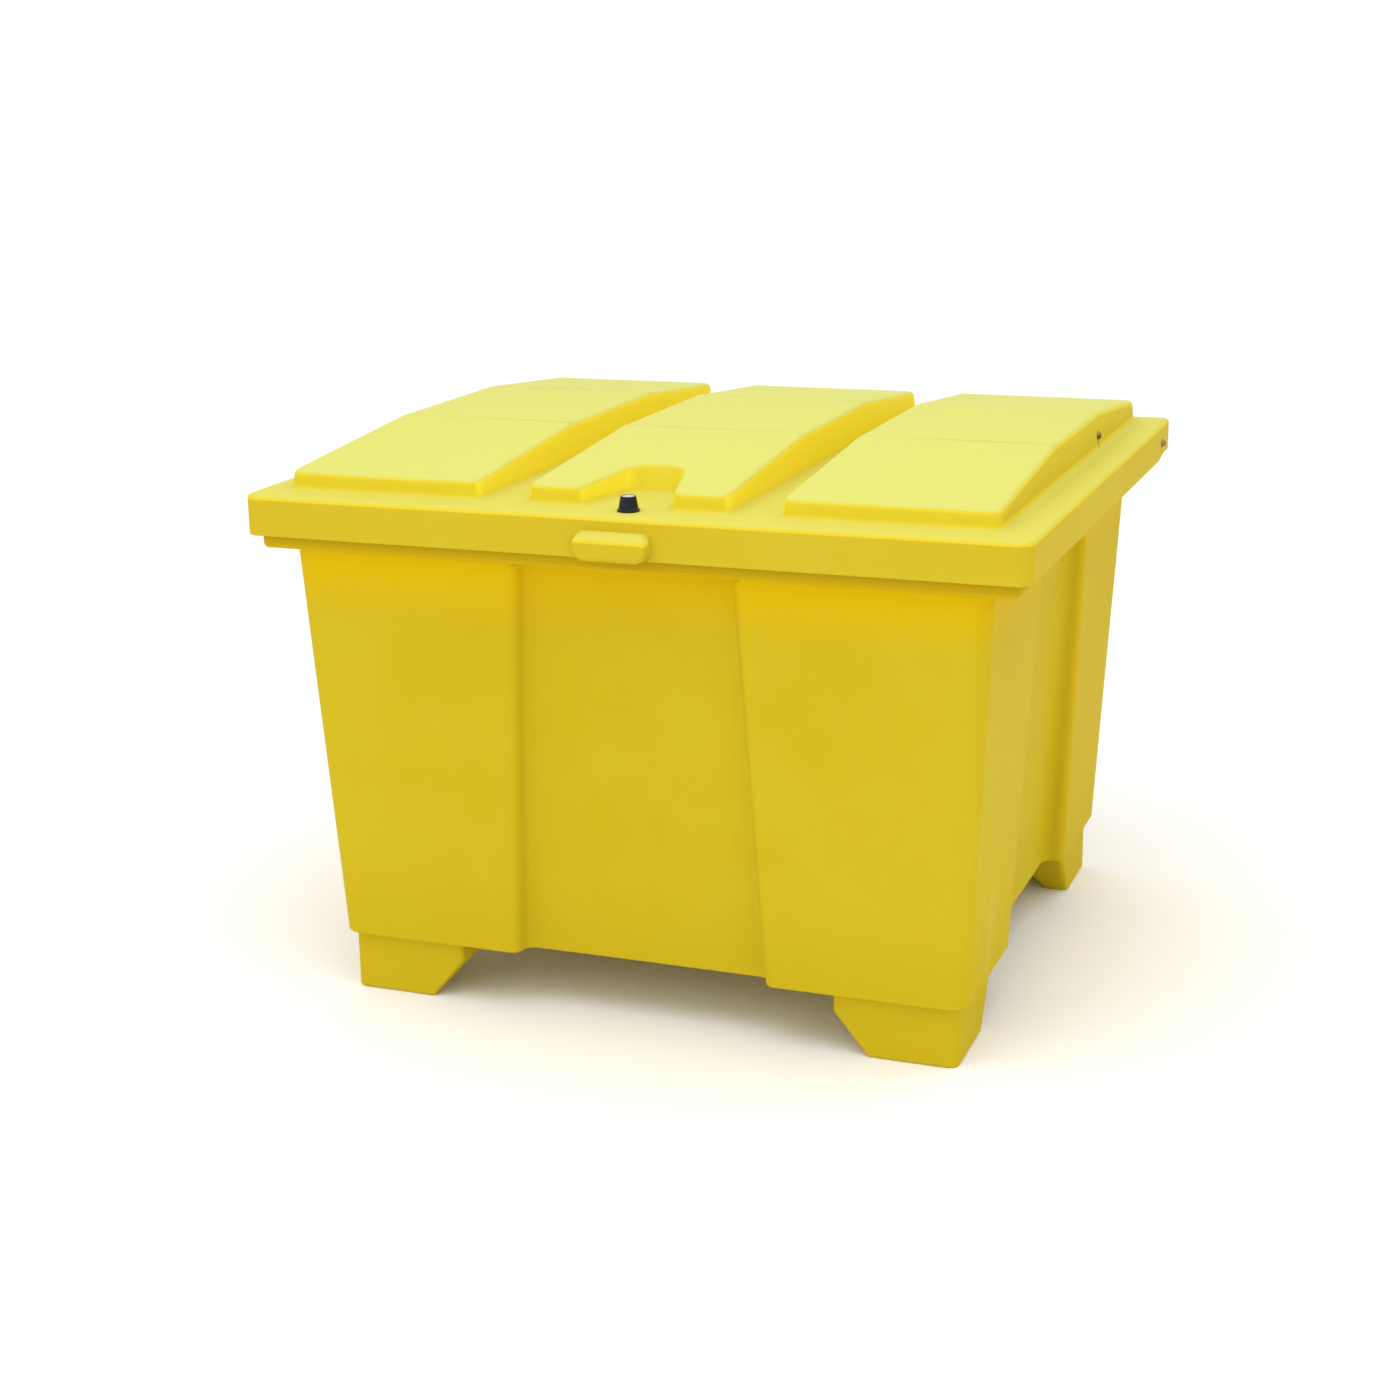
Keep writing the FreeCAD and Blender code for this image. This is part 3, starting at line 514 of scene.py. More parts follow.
    def _bolt_shadow_mask(self, sheet: ShaderSheet, bolt_shadow: PaintedBoltShadow) -> Sock:
        """Mask of one painted shadow below a bolt head, which narrows and fades downwards."""
        about = sheet.stretched((1.0, 1.0, 1.0), bolt_shadow.head)
        fall = sheet.axis(about, "Z") * (-1.0 / bolt_shadow.length)
        ragged = sheet.noise(sheet.place, bolt_shadow.ragged_waves) * bolt_shadow.ragged
        across = abs(sheet.axis(about, "Y")) / bolt_shadow.half_width + ragged
        near = abs(sheet.axis(about, "X")).ramped(*bolt_shadow.near)
        inside = across.ramped(*bolt_shadow.width) * fall.ramped(*bolt_shadow.start) * fall.ramped(*bolt_shadow.end)
        return inside * near * bolt_shadow.strength


@dataclass(frozen=True)
class Metal:
    """Bare or plated metal, with fine turning or rolling lines."""

    name: str
    colour: Colour
    tint: Colour
    roughness: float
    cloud_waves: float = 90.0
    clouds: Step = (0.35, 0.70)
    cloud_rough: float = 0.22
    grain: Place = (60.0, 60.0, 60.0)
    grain_waves: float = 20.0
    grain_height: float = 0.02 * MM
    grain_strength: float = 0.6
    grain_rough: float = 0.10

    def build(self) -> bpy.types.Material:
        """The finish as a material."""
        sheet = ShaderSheet(self.name)
        cloud = sheet.noise(sheet.place, self.cloud_waves, 4.0)
        grain = sheet.noise(sheet.stretched(self.grain), self.grain_waves, 3.0)
        return sheet.surface({
            "Base Color": sheet.mix(cloud.ramped(*self.clouds), self.colour, self.tint),
            "Metallic": 1.0,
            "Roughness": self.roughness + (cloud - 0.5) * self.cloud_rough + (grain - 0.5) * self.grain_rough,
            "Normal": sheet.bump(grain, self.grain_height, self.grain_strength),
        })


@dataclass(frozen=True)
class Moulded:
    """Small moulded or painted piece: plastic, rubber, nylon or gloss paint."""

    name: str
    colour: Colour
    patchy: Colour
    roughness: float
    coat: float = 0.0
    gloss: float = 0.5
    cloud_waves: float = 55.0
    clouds: Step = (0.45, 0.80)
    cloud_rough: float = 0.2
    grain_waves: float = 900.0
    grain_height: float = 0.04 * MM
    grain_strength: float = 0.7
    coat_roughness: float = 0.12

    def build(self) -> bpy.types.Material:
        """The finish as a material."""
        sheet = ShaderSheet(self.name)
        cloud = sheet.noise(sheet.place, self.cloud_waves, 5.0)
        grain = sheet.noise(sheet.place, self.grain_waves, 2.0)
        return sheet.surface({
            "Base Color": sheet.mix(cloud.ramped(*self.clouds), self.colour, self.patchy),
            "Roughness": self.roughness + (cloud - 0.5) * self.cloud_rough,
            "Normal": sheet.bump(grain, self.grain_height, self.grain_strength),
            "Specular IOR Level": self.gloss,
            "Coat Weight": self.coat,
            "Coat Roughness": self.coat_roughness,
        })


class Paintbox:
    """Every small finish of the bin, made once and handed out by slot."""

    RECIPES = {
        Slot.HOUSING: Moulded("lock_housing_plastic", (0.005, 0.006, 0.009), (0.018, 0.020, 0.028), 0.30,
                              coat=0.05, gloss=0.20),
        Slot.NYLON: Moulded("natural_nylon", (0.72, 0.71, 0.66), (0.60, 0.58, 0.50), 0.42),
        Slot.RUBBER: Moulded("gasket_rubber", (0.014, 0.014, 0.014), (0.04, 0.04, 0.038), 0.75),
        Slot.PAINT: Moulded("strut_tube_paint", (0.010, 0.010, 0.011), (0.022, 0.022, 0.024), 0.30, 0.5),
        Slot.LOCK_CHROME: Metal("lock_chrome", (0.78, 0.78, 0.77), (0.60, 0.59, 0.56), 0.22),
        Slot.ROD_CHROME: Metal("strut_rod_chrome", (0.80, 0.80, 0.82), (0.70, 0.70, 0.72), 0.12),
        Slot.STAINLESS: Metal("stainless_fasteners", (0.68, 0.66, 0.62), (0.45, 0.41, 0.35), 0.26),
        Slot.ZINC: Metal("zinc_plate", (0.64, 0.66, 0.66), (0.50, 0.50, 0.46), 0.34),
        Slot.BRASS: Metal("insert_brass", (0.72, 0.52, 0.22), (0.55, 0.38, 0.15), 0.33),
    }

    # Stainless dome heads coloured dark bronze: a painted dark reflection; the lamps give the glint.
    BOLT_HEAD = Metal("weathered_bolt", (0.30, 0.21, 0.10), (0.09, 0.06, 0.025), 0.22)

    def __init__(self) -> None:
        """Mixes every finish."""
        self.made = {slot: recipe.build() for slot, recipe in self.RECIPES.items()}
        self.bolt_head = self.BOLT_HEAD.build()

    def __getitem__(self, slot: Slot) -> bpy.types.Material:
        """The material of a slot."""
        return self.made[slot]


def linked(name: str, data: bpy.types.ID) -> bpy.types.Object:
    """A new object in the scene.

    Args:
        name: The object's name.
        data: Its mesh, light or camera.

    Returns:
        The object.
    """
    item = bpy.data.objects.new(name, data)
    bpy.context.scene.collection.objects.link(item)
    return item


def body_of(node: str) -> str:
    """Name of the body that a node of the frame belongs to."""
    return next(body for body, members in frame["record"]["behaviour"]["bodies"].items() if node in members)


def middle_of(node: str) -> Vector:
    """Middle of a node's box at rest."""
    low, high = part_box(node)
    return (low + high) / 2


def welded(node: str, weld: float = 0.000004, flat: float = 0.3) -> bmesh.types.BMesh:
    """A node's own solid as one closed mesh with its flat faces whole.

    Args:
        node: Name of the node.
        weld: Points nearer than this are one point.
        flat: Faces that meet at less than this many degrees are joined.

    Returns:
        The mesh, which the caller frees.
    """
    form = bmesh.new()
    form.from_mesh(frame["nodes"][node].data)
    bmesh.ops.remove_doubles(form, verts=form.verts, dist=weld)
    bmesh.ops.dissolve_degenerate(form, dist=weld / 2, edges=form.edges)
    bmesh.ops.dissolve_limit(form, angle_limit=math.radians(flat), verts=form.verts, edges=form.edges,
                             use_dissolve_boundaries=False)
    return form


def place_piece(node: str, suffix: str, mesh: bpy.types.Mesh) -> bpy.types.Object:
    """Puts a finished mesh into the scene in place of its node, to move with the node's body.

    Args:
        node: The node of the frame that it stands for.
        suffix: What the piece's name adds to the node's.
        mesh: Its mesh, with its material, in the frame's own place.

    Returns:
        The new object.
    """
    body = body_of(node)
    piece = linked(f"{node}_{suffix}", mesh)
    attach(piece, body)
    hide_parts(node)
    LOG.info("%s: %d faces on %s", piece.name, len(mesh.polygons), body)
    return piece


def even_shading(piece: bpy.types.Object, sharp_above: float = 50.0) -> None:
    """Smooth shading in which the broad faces stay flat and true corners stay crisp.

    Args:
        piece: The object.
        sharp_above: Edges that turn by more than this many degrees stay crisp.
    """
    mesh = piece.data
    mesh.shade_smooth()
    mesh.set_sharp_from_angle(angle=math.radians(sharp_above))
    weighted = piece.modifiers.new("even_shading", "WEIGHTED_NORMAL")
    weighted.mode = "FACE_AREA"
    weighted.weight = AREA_WEIGHT
    weighted.keep_sharp = True


@dataclass
class EdgedCopies:
    """Small pieces that keep the frame's shape, with their machined edges broken."""

    paint: Paintbox
    bevel: float = 0.3 * MM
    segments: int = 2
    crisp_above: float = 38.0

    def dress(self, node: str, slot: Slot, bevel: Optional[float] = None) -> None:
        """Makes one piece from its node.

        Args:
            node: Name of the node, which the piece replaces.
            slot: Slot of its finish.
            bevel: Width of its broken edges, or None for the usual one.
        """
        form = welded(node)
        mesh = bpy.data.meshes.new(node + "_mesh")
        form.to_mesh(mesh)
        form.free()
        mesh.materials.append(self.paint[slot])
        piece = place_piece(node, "finished", mesh)
        mesh.shade_smooth()
        edges = piece.modifiers.new("broken_edges", "BEVEL")
        edges.width = self.bevel if bevel is None else bevel
        edges.segments = self.segments
        edges.limit_method = "ANGLE"
        edges.angle_limit = math.radians(self.crisp_above)
        edges.harden_normals = True


@dataclass
class MouldedShell:
    """A large moulding: the frame's solid with the slow waves that cooling leaves in its walls."""

    node: str
    finish: MouldedPolyethylene
    still_places: Sequence[Vector]
    flat: float = 0.05
    grid: float = 0.045
    wave_height: float = 1.5 * MM
    waves_per_metre: float = 3.4
    still_radius: float = 0.035
    free_radius: float = 0.12
    sole: float = 12.0 * MM
    sole_share: float = 0.2
    seed: float = 4.0

    def build(self) -> None:
        """Makes the moulding and puts it in place of its node."""
        form = welded(self.node, flat=self.flat)
        self._divide(form)
        mesh = bpy.data.meshes.new(self.node + "_mesh")
        form.to_mesh(mesh)
        form.free()
        self._mark_still(mesh)
        material = self.finish.build()
        waved = self._waves().grow(mesh, material, {
            "Height": self.wave_height, "Waves": self.waves_per_metre, "Seed": self.seed})
        self._keep_in_box(waved)
        even_shading(place_piece(self.node, "moulding", waved))

    def _divide(self, form: bmesh.types.BMesh) -> None:
        """Cuts the broad faces into a grid, so that they can bend."""
        low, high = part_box(self.node)
        for axis in range(3):
            normal = Vector((axis == 0, axis == 1, axis == 2))
            steps = int((high[axis] - low[axis]) / self.grid)
            for step in range(1, steps + 1):
                at = normal * (low[axis] + (high[axis] - low[axis]) * step / (steps + 1))
                geometry = [*form.verts, *form.edges, *form.faces]
                bmesh.ops.bisect_plane(form, geom=geometry, dist=MERGE, plane_co=at, plane_no=normal)

    def _mark_still(self, mesh: bpy.types.Mesh) -> None:
        """Stores on each point how freely it may wave: not at all where metal pieces sit or on the soles."""
        places = np.zeros(len(mesh.vertices) * 3, np.float32)
        mesh.vertices.foreach_get("co", places)
        places = places.reshape(-1, 3)
        free = np.clip(places[:, 2] / self.sole - self.sole_share, 0.0, 1.0)
        for still in self.still_places:
            away = np.linalg.norm(places - np.array(still), axis=1)
            share = np.clip((away - self.still_radius) / (self.free_radius - self.still_radius), 0.0, 1.0)
            free = np.minimum(free, share * share * (3.0 - 2.0 * share))
        attribute = mesh.attributes.new("free", "FLOAT", "POINT")
        attribute.data.foreach_set("value", free.astype(np.float32))

    def _waves(self) -> ShapeSheet:
        """Tree that moves each point by a slow noise in space."""
        sheet = ShapeSheet(self.node + "_waves", {"Height": 0.001, "Waves": 3.0, "Seed": 0.0})
        noise = sheet.add("ShaderNodeTexNoise", {"noise_dimensions": "4D"},
                          {"W": sheet.given("Seed"), "Scale": sheet.given("Waves"), "Detail": 1.0}, 1)
        centred = sheet.add("ShaderNodeVectorMath", {"operation": "SUBTRACT"}, {0: noise, 1: (0.5, 0.5, 0.5)})
        free = sheet.add("GeometryNodeInputNamedAttribute", {"data_type": "FLOAT"}, {"Name": "free"})
        offset = sheet.add("ShaderNodeVectorMath", {"operation": "SCALE"},
                           {0: centred, "Scale": free * sheet.given("Height")})
        moved = {"Geometry": sheet.given("Geometry"), "Offset": offset}
        sheet.close(sheet.add("GeometryNodeSetPosition", {}, moved))
        return sheet

    def _keep_in_box(self, mesh: bpy.types.Mesh) -> None:
        """Holds the waved mesh inside its node's box."""
        low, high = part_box(self.node)
        places = np.zeros(len(mesh.vertices) * 3, np.float32)
        mesh.vertices.foreach_get("co", places)
        held = np.clip(places.reshape(-1, 3), np.array(low), np.array(high))
        mesh.vertices.foreach_set("co", held.astype(np.float32).ravel())
        mesh.update()


@dataclass
class Mouldings:
    """The two large yellow mouldings, the tub and the lid."""

    lid_depth: float = 1098.0 * MM
    first_crease: float = 415.0 * MM
    second_crease: float = 751.0 * MM
    rim_z: float = 724.0 * MM
    lid_top: float = 807.3 * MM
    rim_shade_depth: float = 105.0 * MM
    band_edge: Step = (-1.0 * MM, 3.0 * MM)
    low_walls: Step = (240.0 * MM, 120.0 * MM)
    shadow_lengths: tuple[float, float] = (26.0 * MM, 24.0 * MM)
    shadow_inset: float = 8.0 * MM
    shadow_drop: float = 4.0 * MM
    shadow_half_width: float = 4.5 * MM

    def still_places(self) -> list[Vector]:
        """Where metal pieces sit on the mouldings, so that their seats stay true."""
        nodes = ["lock_housing", "strike_plate"]
        for side in Side:
            nodes += [side.named(n) for n in ("hinge_bush", "strut_lid_washer", "strut_bracket")]
        return [middle_of(node) for node in nodes]

    def bolt_shadows(self) -> tuple[PaintedBoltShadow, ...]:
        """Painted shadows below the four bolt heads on the lid's sides."""
        runs = []
        for side in Side:
            for bolt, length in zip(("strut_lid_bolt", "hinge_bolt"), self.shadow_lengths):
                low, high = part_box(side.named(bolt))
                outer = high.x if side is Side.RIGHT else low.x
                middle = (low + high) / 2
                head = (outer - side.sign * self.shadow_inset, middle.y, middle.z - self.shadow_drop)
                runs.append(PaintedBoltShadow(head, length, self.shadow_half_width))
        return tuple(runs)

    def build(self) -> None:
        """Makes the tub and the lid."""
        # Painted shade with warm bounced light on the tub's wall just under the rim.
        rim_shade = Tone((0.680, 0.452, 0.004), self.rim_z - self.rim_shade_depth, self.rim_z)
        # Painted shade on the tub's rim band and above it, in the shadow of the lid's skirt.
        band_shade = Tone((0.560, 0.374, 0.008), *(self.rim_z + edge for edge in self.band_edge))
        # Painted shade: the tub's walls are drawn a little darker towards the floor.
        low = Tone((0.545, 0.408, 0.013), *self.low_walls, 0.8)
        tub = MouldedPolyethylene(
            "tub_polyethylene",
            scuffs=(Scuff((0.515, -0.345, 0.17), (0.03, 0.035, 0.12), 0.60),
                    Scuff((0.500, -0.450, 0.36), (0.04, 0.04, 0.12), 0.30)),
            tones=(low, rim_shade, band_shade))
        lid_low, lid_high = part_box("lid")
        front = lid_high.y - self.lid_depth
        bends = tuple(Crease(front + reach) for reach in (self.first_crease, self.second_crease))
        lid = MouldedPolyethylene(
            "lid_polyethylene",
            # A pale streak along the lower edge of the lid's right skirt.
            scuffs=(Scuff((lid_high.x, 0.12, lid_low.z + 12 * MM), (0.02, 0.16, 0.02), 0.45),),
            bolt_shadows=self.bolt_shadows(), creases=bends, flat_top=self.lid_top,
            colour=(0.585, 0.450, 0.030), deep=(0.570, 0.420, 0.020))
        still = self.still_places()
        MouldedShell("tub", tub, still).build()
        MouldedShell("lid", lid, still).build()


@dataclass
class Turning:
    """A turned piece: an outline of radius and height that is swept round an axis."""

    outline: Outline
    steps: int = 96

    def mesh(self, name: str, material: bpy.types.Material) -> bpy.types.Mesh:
        """Sweeps the outline round the Z axis.

        Args:
            name: The mesh's name.
            material: Its material.

        Returns:
            The closed mesh, standing on the origin.
        """
        form = bmesh.new()
        points = [form.verts.new((radius, 0.0, height)) for radius, height in self.outline]
        rings = len(points) if self.outline[0][0] > MERGE / 2 else len(points) - 1
        edges = [form.edges.new((points[i], points[(i + 1) % len(points)])) for i in range(rings)]
        bmesh.ops.spin(form, geom=points + edges, cent=(0, 0, 0), axis=(0, 0, 1), angle=math.tau,
                       steps=self.steps, use_merge=True)
        bmesh.ops.remove_doubles(form, verts=form.verts, dist=MERGE / 2)
        bmesh.ops.recalc_face_normals(form, faces=form.faces)
        mesh = bpy.data.meshes.new(name)
        form.to_mesh(mesh)
        form.free()
        mesh.materials.append(material)
        return mesh


def place_turned(node: str, suffix: str, mesh: bpy.types.Mesh, axis: Place) -> None:
    """Stands a turned mesh in its node's box and puts it into the scene.

    Args:
        node: The node that it stands for.
        suffix: What the piece's name adds to the node's.
        mesh: The mesh, which stands on the origin along the Z axis.
        axis: The frame's axis that its Z axis takes, with its sign.
    """
    low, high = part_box(node)
    foot = (low + high) / 2
    for number, way in enumerate(axis):
        if way:
            foot[number] = low[number] if way > 0 else high[number]
    turn = Vector((0, 0, 1)).rotation_difference(Vector(axis)).to_matrix().to_4x4()
    mesh.transform(Matrix.Translation(foot) @ turn)
    even_shading(place_piece(node, suffix, mesh), TURNED_SHARP)


def arc(centre: tuple[float, float], radius: float, start: float, end: float, steps: int) -> Outline:
    """Points of an arc in an outline.

    Args:
        centre: Its centre, as (radius, height).
        radius: Its radius.
        start: Start angle in degrees, from the outward direction towards up.
        end: End angle in degrees.
        steps: Number of chords.

    Returns:
        The points, both ends included.
    """
    angles = [math.radians(start + (end - start) * i / steps) for i in range(steps + 1)]
    return [(centre[0] + radius * math.cos(a), centre[1] + radius * math.sin(a)) for a in angles]


def dome(base: float, height: float, top: float) -> Outline:
    """Points of a domed head's upper half in an outline.

    Args:
        base: Radius at the dome's foot.
        height: Height of the dome.
        top: Height of its crown in the outline.

    Returns:
        The points from its foot to its crown.
    """
    ball = (base ** 2 + height ** 2) / (2 * height)
    start = math.degrees(math.asin((ball - height) / ball))
    return arc((0.0, top - ball), ball, start, 90, 10)


class Winding:
    """Tree that winds a thread's ridge round a turned core."""

    def __init__(self) -> None:
        """Draws the tree."""
        sheet = ShapeSheet("thread", {
            "Crest": 4.0 * MM, "Depth": 0.7 * MM, "Pitch": 1.25 * MM, "Length": 14.0 * MM})
        length = sheet.given("Length")
        half = sheet.given("Depth") * 0.5
        middle = sheet.given("Crest") - half
        path = sheet.add("GeometryNodeCurveSpiral", {}, {
            "Resolution": 28, "Rotations": length / sheet.given("Pitch"),
            "Start Radius": middle, "End Radius": middle, "Height": length})
        path = sheet.add("GeometryNodeSetCurveNormal", {"mode": "Z_UP"}, {"Curve": path})
        rib = sheet.add("GeometryNodeCurvePrimitiveCircle", {"mode": "RADIUS"},
                        {"Resolution": 4, "Radius": half})
        ridge = sheet.add("GeometryNodeCurveToMesh", {},
                          {"Curve": path, "Profile Curve": rib, "Fill Caps": True})
        sheet.close(sheet.joined(sheet.given("Geometry"), ridge))
        self.sheet = sheet

    def on(self, core: bpy.types.Mesh, material: bpy.types.Material, crest: float, pitch: float,
           length: float, depth: float) -> bpy.types.Mesh:
        """Winds the ridge round a core that stands on the origin.

        Args:
            core: The turned core.
            material: Material of both.
            crest: Outer radius of the thread.
            pitch: Distance between turns.
            length: Length of the thread from the core's foot.
            depth: Depth of the ridge.

        Returns:
            The threaded mesh.
        """
        sizes = {"Crest": crest, "Depth": depth, "Pitch": pitch, "Length": length}
        return self.sheet.grow(core, material, sizes)


class Repeating:
    """Tree that sets one fastener on each of several points."""

    def __init__(self) -> None:
        """Draws the tree."""
        sheet = ShapeSheet("repeated_fastener", {"Piece": ""})
        piece = sheet.add("GeometryNodeObjectInfo", {}, {"Object": sheet.given("Piece")}, "Geometry")
        copies = {"Points": sheet.given("Geometry"), "Instance": piece}
        sheet.close(sheet.add("GeometryNodeInstanceOnPoints", {}, copies))
        self.sheet = sheet

    def at(self, places: Sequence[Place], piece: bpy.types.Mesh,
           material: bpy.types.Material) -> bpy.types.Mesh:
        """Sets the fastener on every place.

        Args:
            places: Where the copies stand, about the origin.
            piece: The fastener, which stands on the origin.
            material: Its material.

        Returns:
            All copies as one mesh.
        """
        points = bpy.data.meshes.new("places")
        points.from_pydata(places, [], [])
        master = linked("master", piece)
        grown = self.sheet.grow(points, material, {"Piece": master})
        bpy.data.objects.remove(master)
        return grown


@dataclass
class Lock:
    """The lock on the lid: black tapered housing, bright barrel and rotor, nut, cam and gasket."""

    copies: EdgedCopies
    winding: Winding
    flange_edge: float = 0.6 * MM
    flange_height: float = 2.0 * MM
    root_radius: float = 1.4 * MM
    cone_foot: float = 14.5 * MM
    cone_top: float = 11.4 * MM
    lip_radius: float = 0.7 * MM
    mouth: float = 9.3 * MM
    mouth_edge: float = 0.2 * MM
    sink: float = 0.3 * MM
    barrel_thread: float = 24.0 * MM
    barrel_pitch: float = 1.0 * MM
    barrel_depth: float = 0.55 * MM
    barrel_edge: float = 0.25 * MM
    rotor_gap: float = 0.06 * MM
    rotor_edge: float = 0.15 * MM

    def housing(self) -> None:
        """The tapered housing, with its thin flared flange and rounded lip."""
        low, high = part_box("lock_housing")
        flange = (high.x - low.x) / 2
        top = high.z - low.z
        barrel_low, barrel_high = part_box("lock_barrel")
        bore = (barrel_high.x - barrel_low.x) / 2
        edge = self.flange_edge
        root = self.flange_height + self.root_radius
        outline = [(bore, 0.0)]
        outline += arc((flange - edge, edge), edge, -90, 90, 8)
        outline += arc((self.cone_foot + self.root_radius, root), self.root_radius, 270, 190, 6)
        outline += arc((self.cone_top - self.lip_radius, top - self.lip_radius), self.lip_radius, 5, 90, 6)
        outline += arc((self.mouth + self.mouth_edge, top - self.mouth_edge), self.mouth_edge, 90, 180, 4)
        outline += [(self.mouth, top - self.sink), (bore, top - self.sink)]
        mesh = Turning(outline).mesh("lock_housing_mesh", self.copies.paint[Slot.HOUSING])
        place_turned("lock_housing", "cone", mesh, (0, 0, 1))

    def barrel(self) -> None:
        """The bright barrel, threaded where its nut runs."""
        low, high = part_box("lock_barrel")
        rotor_low, rotor_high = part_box("lock_rotor")
        crest = (high.x - low.x) / 2
        bore = (rotor_high.x - rotor_low.x) / 2 + self.rotor_gap
        top = high.z - low.z
        core = crest - self.barrel_depth
        edge = self.barrel_edge
        outline = [(bore, 0.0), (core - edge, 0.0), (core, edge), (core, self.barrel_thread),
                   (crest, self.barrel_thread + self.barrel_depth)]
        outline += arc((crest - edge, top - edge), edge, 0, 90, 4)
        outline += arc((bore + edge, top - edge), edge, 90, 180, 4)
        steel = self.copies.paint[Slot.LOCK_CHROME]
        mesh = Turning(outline).mesh("lock_barrel_core", steel)
        mesh = self.winding.on(mesh, steel, crest, self.barrel_pitch, self.barrel_thread, self.barrel_depth)
        place_turned("lock_barrel", "threaded", mesh, (0, 0, 1))

    def build(self) -> None:
        """Makes the lock's pieces."""
        self.housing()
        self.barrel()
        self.copies.dress("lock_rotor", Slot.LOCK_CHROME, self.rotor_edge)
        self.copies.dress("lock_gasket", Slot.RUBBER)
        for node in ("lock_nut", "lock_cam", "lock_cam_screw"):
            self.copies.dress(node, Slot.ZINC)


@dataclass
class Fasteners:
    """Dome bolts, bushes, spacers, washers, nuts, screws and rivets of the hinges and struts."""

    copies: EdgedCopies
    winding: Winding
    repeating: Repeating
    shank: float = 4.0 * MM
    pitch: float = 1.25 * MM
    depth: float = 0.7 * MM
    head_height: float = 6.8 * MM
    head_rim: float = 1.6 * MM
    head_edge: float = 0.3 * MM
    screw_shank: float = 3.0 * MM
    screw_head_height: float = 3.3 * MM
    screw_head_rim: float = 1.0 * MM
    rivet_shank: float = 2.0 * MM
    rivet_head_height: float = 2.5 * MM
    rivet_head_rim: float = 0.4 * MM
    hinge_thread: float = 14.0 * MM
    strut_thread: float = 8.0 * MM
    plate_edge: float = 0.5 * MM

    def bolt(self, node: str, side: Side, threaded: float) -> None:
        """One dome-headed bolt with a rolled thread at its inner end.

        Args:
            node: Name of the bolt's node.
            side: The bin's side, towards which its head points.
            threaded: Length of its thread.
        """
        low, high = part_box(node)
        length = high.x - low.x
        head = (high.y - low.y) / 2
        core = self.shank - self.depth
        seat = length - self.head_height
        outline = [(0.0, 0.0), (core - self.depth / 2, 0.0), (core, self.depth / 2), (core, threaded),
                   (self.shank, threaded + self.depth), (self.shank, seat)]
        outline += arc((head - self.head_edge, seat + self.head_edge), self.head_edge, -90, 0, 3)
        outline += dome(head, self.head_height - self.head_rim, length)
        steel = self.copies.paint.bolt_head
        mesh = Turning(outline, 64).mesh(node + "_core", steel)
        mesh = self.winding.on(mesh, steel, self.shank, self.pitch, threaded, self.depth)
        place_turned(node, "domed", mesh, (side.sign, 0, 0))

    def _pair(self, node: str, suffix: str, outline: Outline, apart: Place, axis: Place) -> None:
        """Two turned pieces that share a node.

        Args:
            node: Name of their node.
            suffix: What the pair's name adds to the node's.
            outline: Outline of one of them.
            apart: Where one stands from the middle of both, before they are turned.
            axis: The frame's axis that they lie along, with its sign.
        """
        steel = self.copies.paint[Slot.STAINLESS]
        one = Turning(outline, 48).mesh(node + "_master", steel)
        mesh = self.repeating.at([tuple(-a for a in apart), apart], one, steel)
        place_turned(node, suffix, mesh, axis)

    def screws(self, node: str, side: Side) -> None:
        """The two dome-headed screws of one side's bracket, whose heads point inwards."""
        low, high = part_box(node)
        length = high.x - low.x
        head = (high.z - low.z) / 2
        seat = length - self.screw_head_height
        edge = self.head_edge
        shank = self.screw_shank
        outline = [(0.0, 0.0), (shank - edge, 0.0), (shank, edge), (shank, seat)]
        outline += arc((head - edge, seat + edge), edge, -90, 0, 3)
        outline += dome(head, self.screw_head_height - self.screw_head_rim, length)
        half = (high.y - low.y) / 2 - head
        self._pair(node, "socketed", outline, (0, half, 0), (-side.sign, 0, 0))

    def rivets(self, node: str) -> None:
        """The strike plate's two rivets, domed at both ends."""
        low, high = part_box(node)
        length = high.y - low.y
        head = (high.z - low.z) / 2
        rise = self.rivet_head_height - self.rivet_head_rim
        upper = dome(head, rise, length)
        outline = [(radius, length - height) for radius, height in reversed(upper)]
        seat = self.rivet_head_height
        outline += [(head, seat), (self.rivet_shank, seat), (self.rivet_shank, length - seat),
                    (head, length - seat), *upper]
        half = (high.x - low.x) / 2 - head
        self._pair(node, "domed", outline, (half, 0, 0), (0, -1, 0))

    def build(self) -> None:
        """Makes both sides' pieces and the strike plate's."""
        for side in Side:
            self.bolt(side.named("hinge_bolt"), side, self.hinge_thread)
            self.bolt(side.named("strut_lid_bolt"), side, self.strut_thread)
            self.screws(side.named("bracket_screws"), side)
            for piece in ("hinge_washer", "hinge_nut", "strut_lid_washer", "strut_lid_nut", "bracket_clip"):
                self.copies.dress(side.named(piece), Slot.STAINLESS)
            for piece in ("hinge_bush", "hinge_spacer"):
                self.copies.dress(side.named(piece), Slot.NYLON)
            self.copies.dress(side.named("bracket_inserts"), Slot.BRASS)
        self.copies.dress("strike_plate", Slot.ZINC, self.plate_edge)
        self.rivets("strike_rivets")


def dress_struts(copies: EdgedCopies) -> None:
    """Makes both gas struts with their eyes, guides, pistons, pins and brackets."""
    finishes = {
        "strut_cylinder": Slot.PAINT, "strut_guide": Slot.ZINC, "strut_foot_eye": Slot.ZINC,
        "strut_rod": Slot.ROD_CHROME, "strut_piston": Slot.NYLON, "strut_head_eye": Slot.ZINC,
        "strut_lid_pin": Slot.ZINC, "strut_bracket": Slot.ZINC,
    }
    for side in Side:
        for piece, slot in finishes.items():
            copies.dress(side.named(piece), slot)


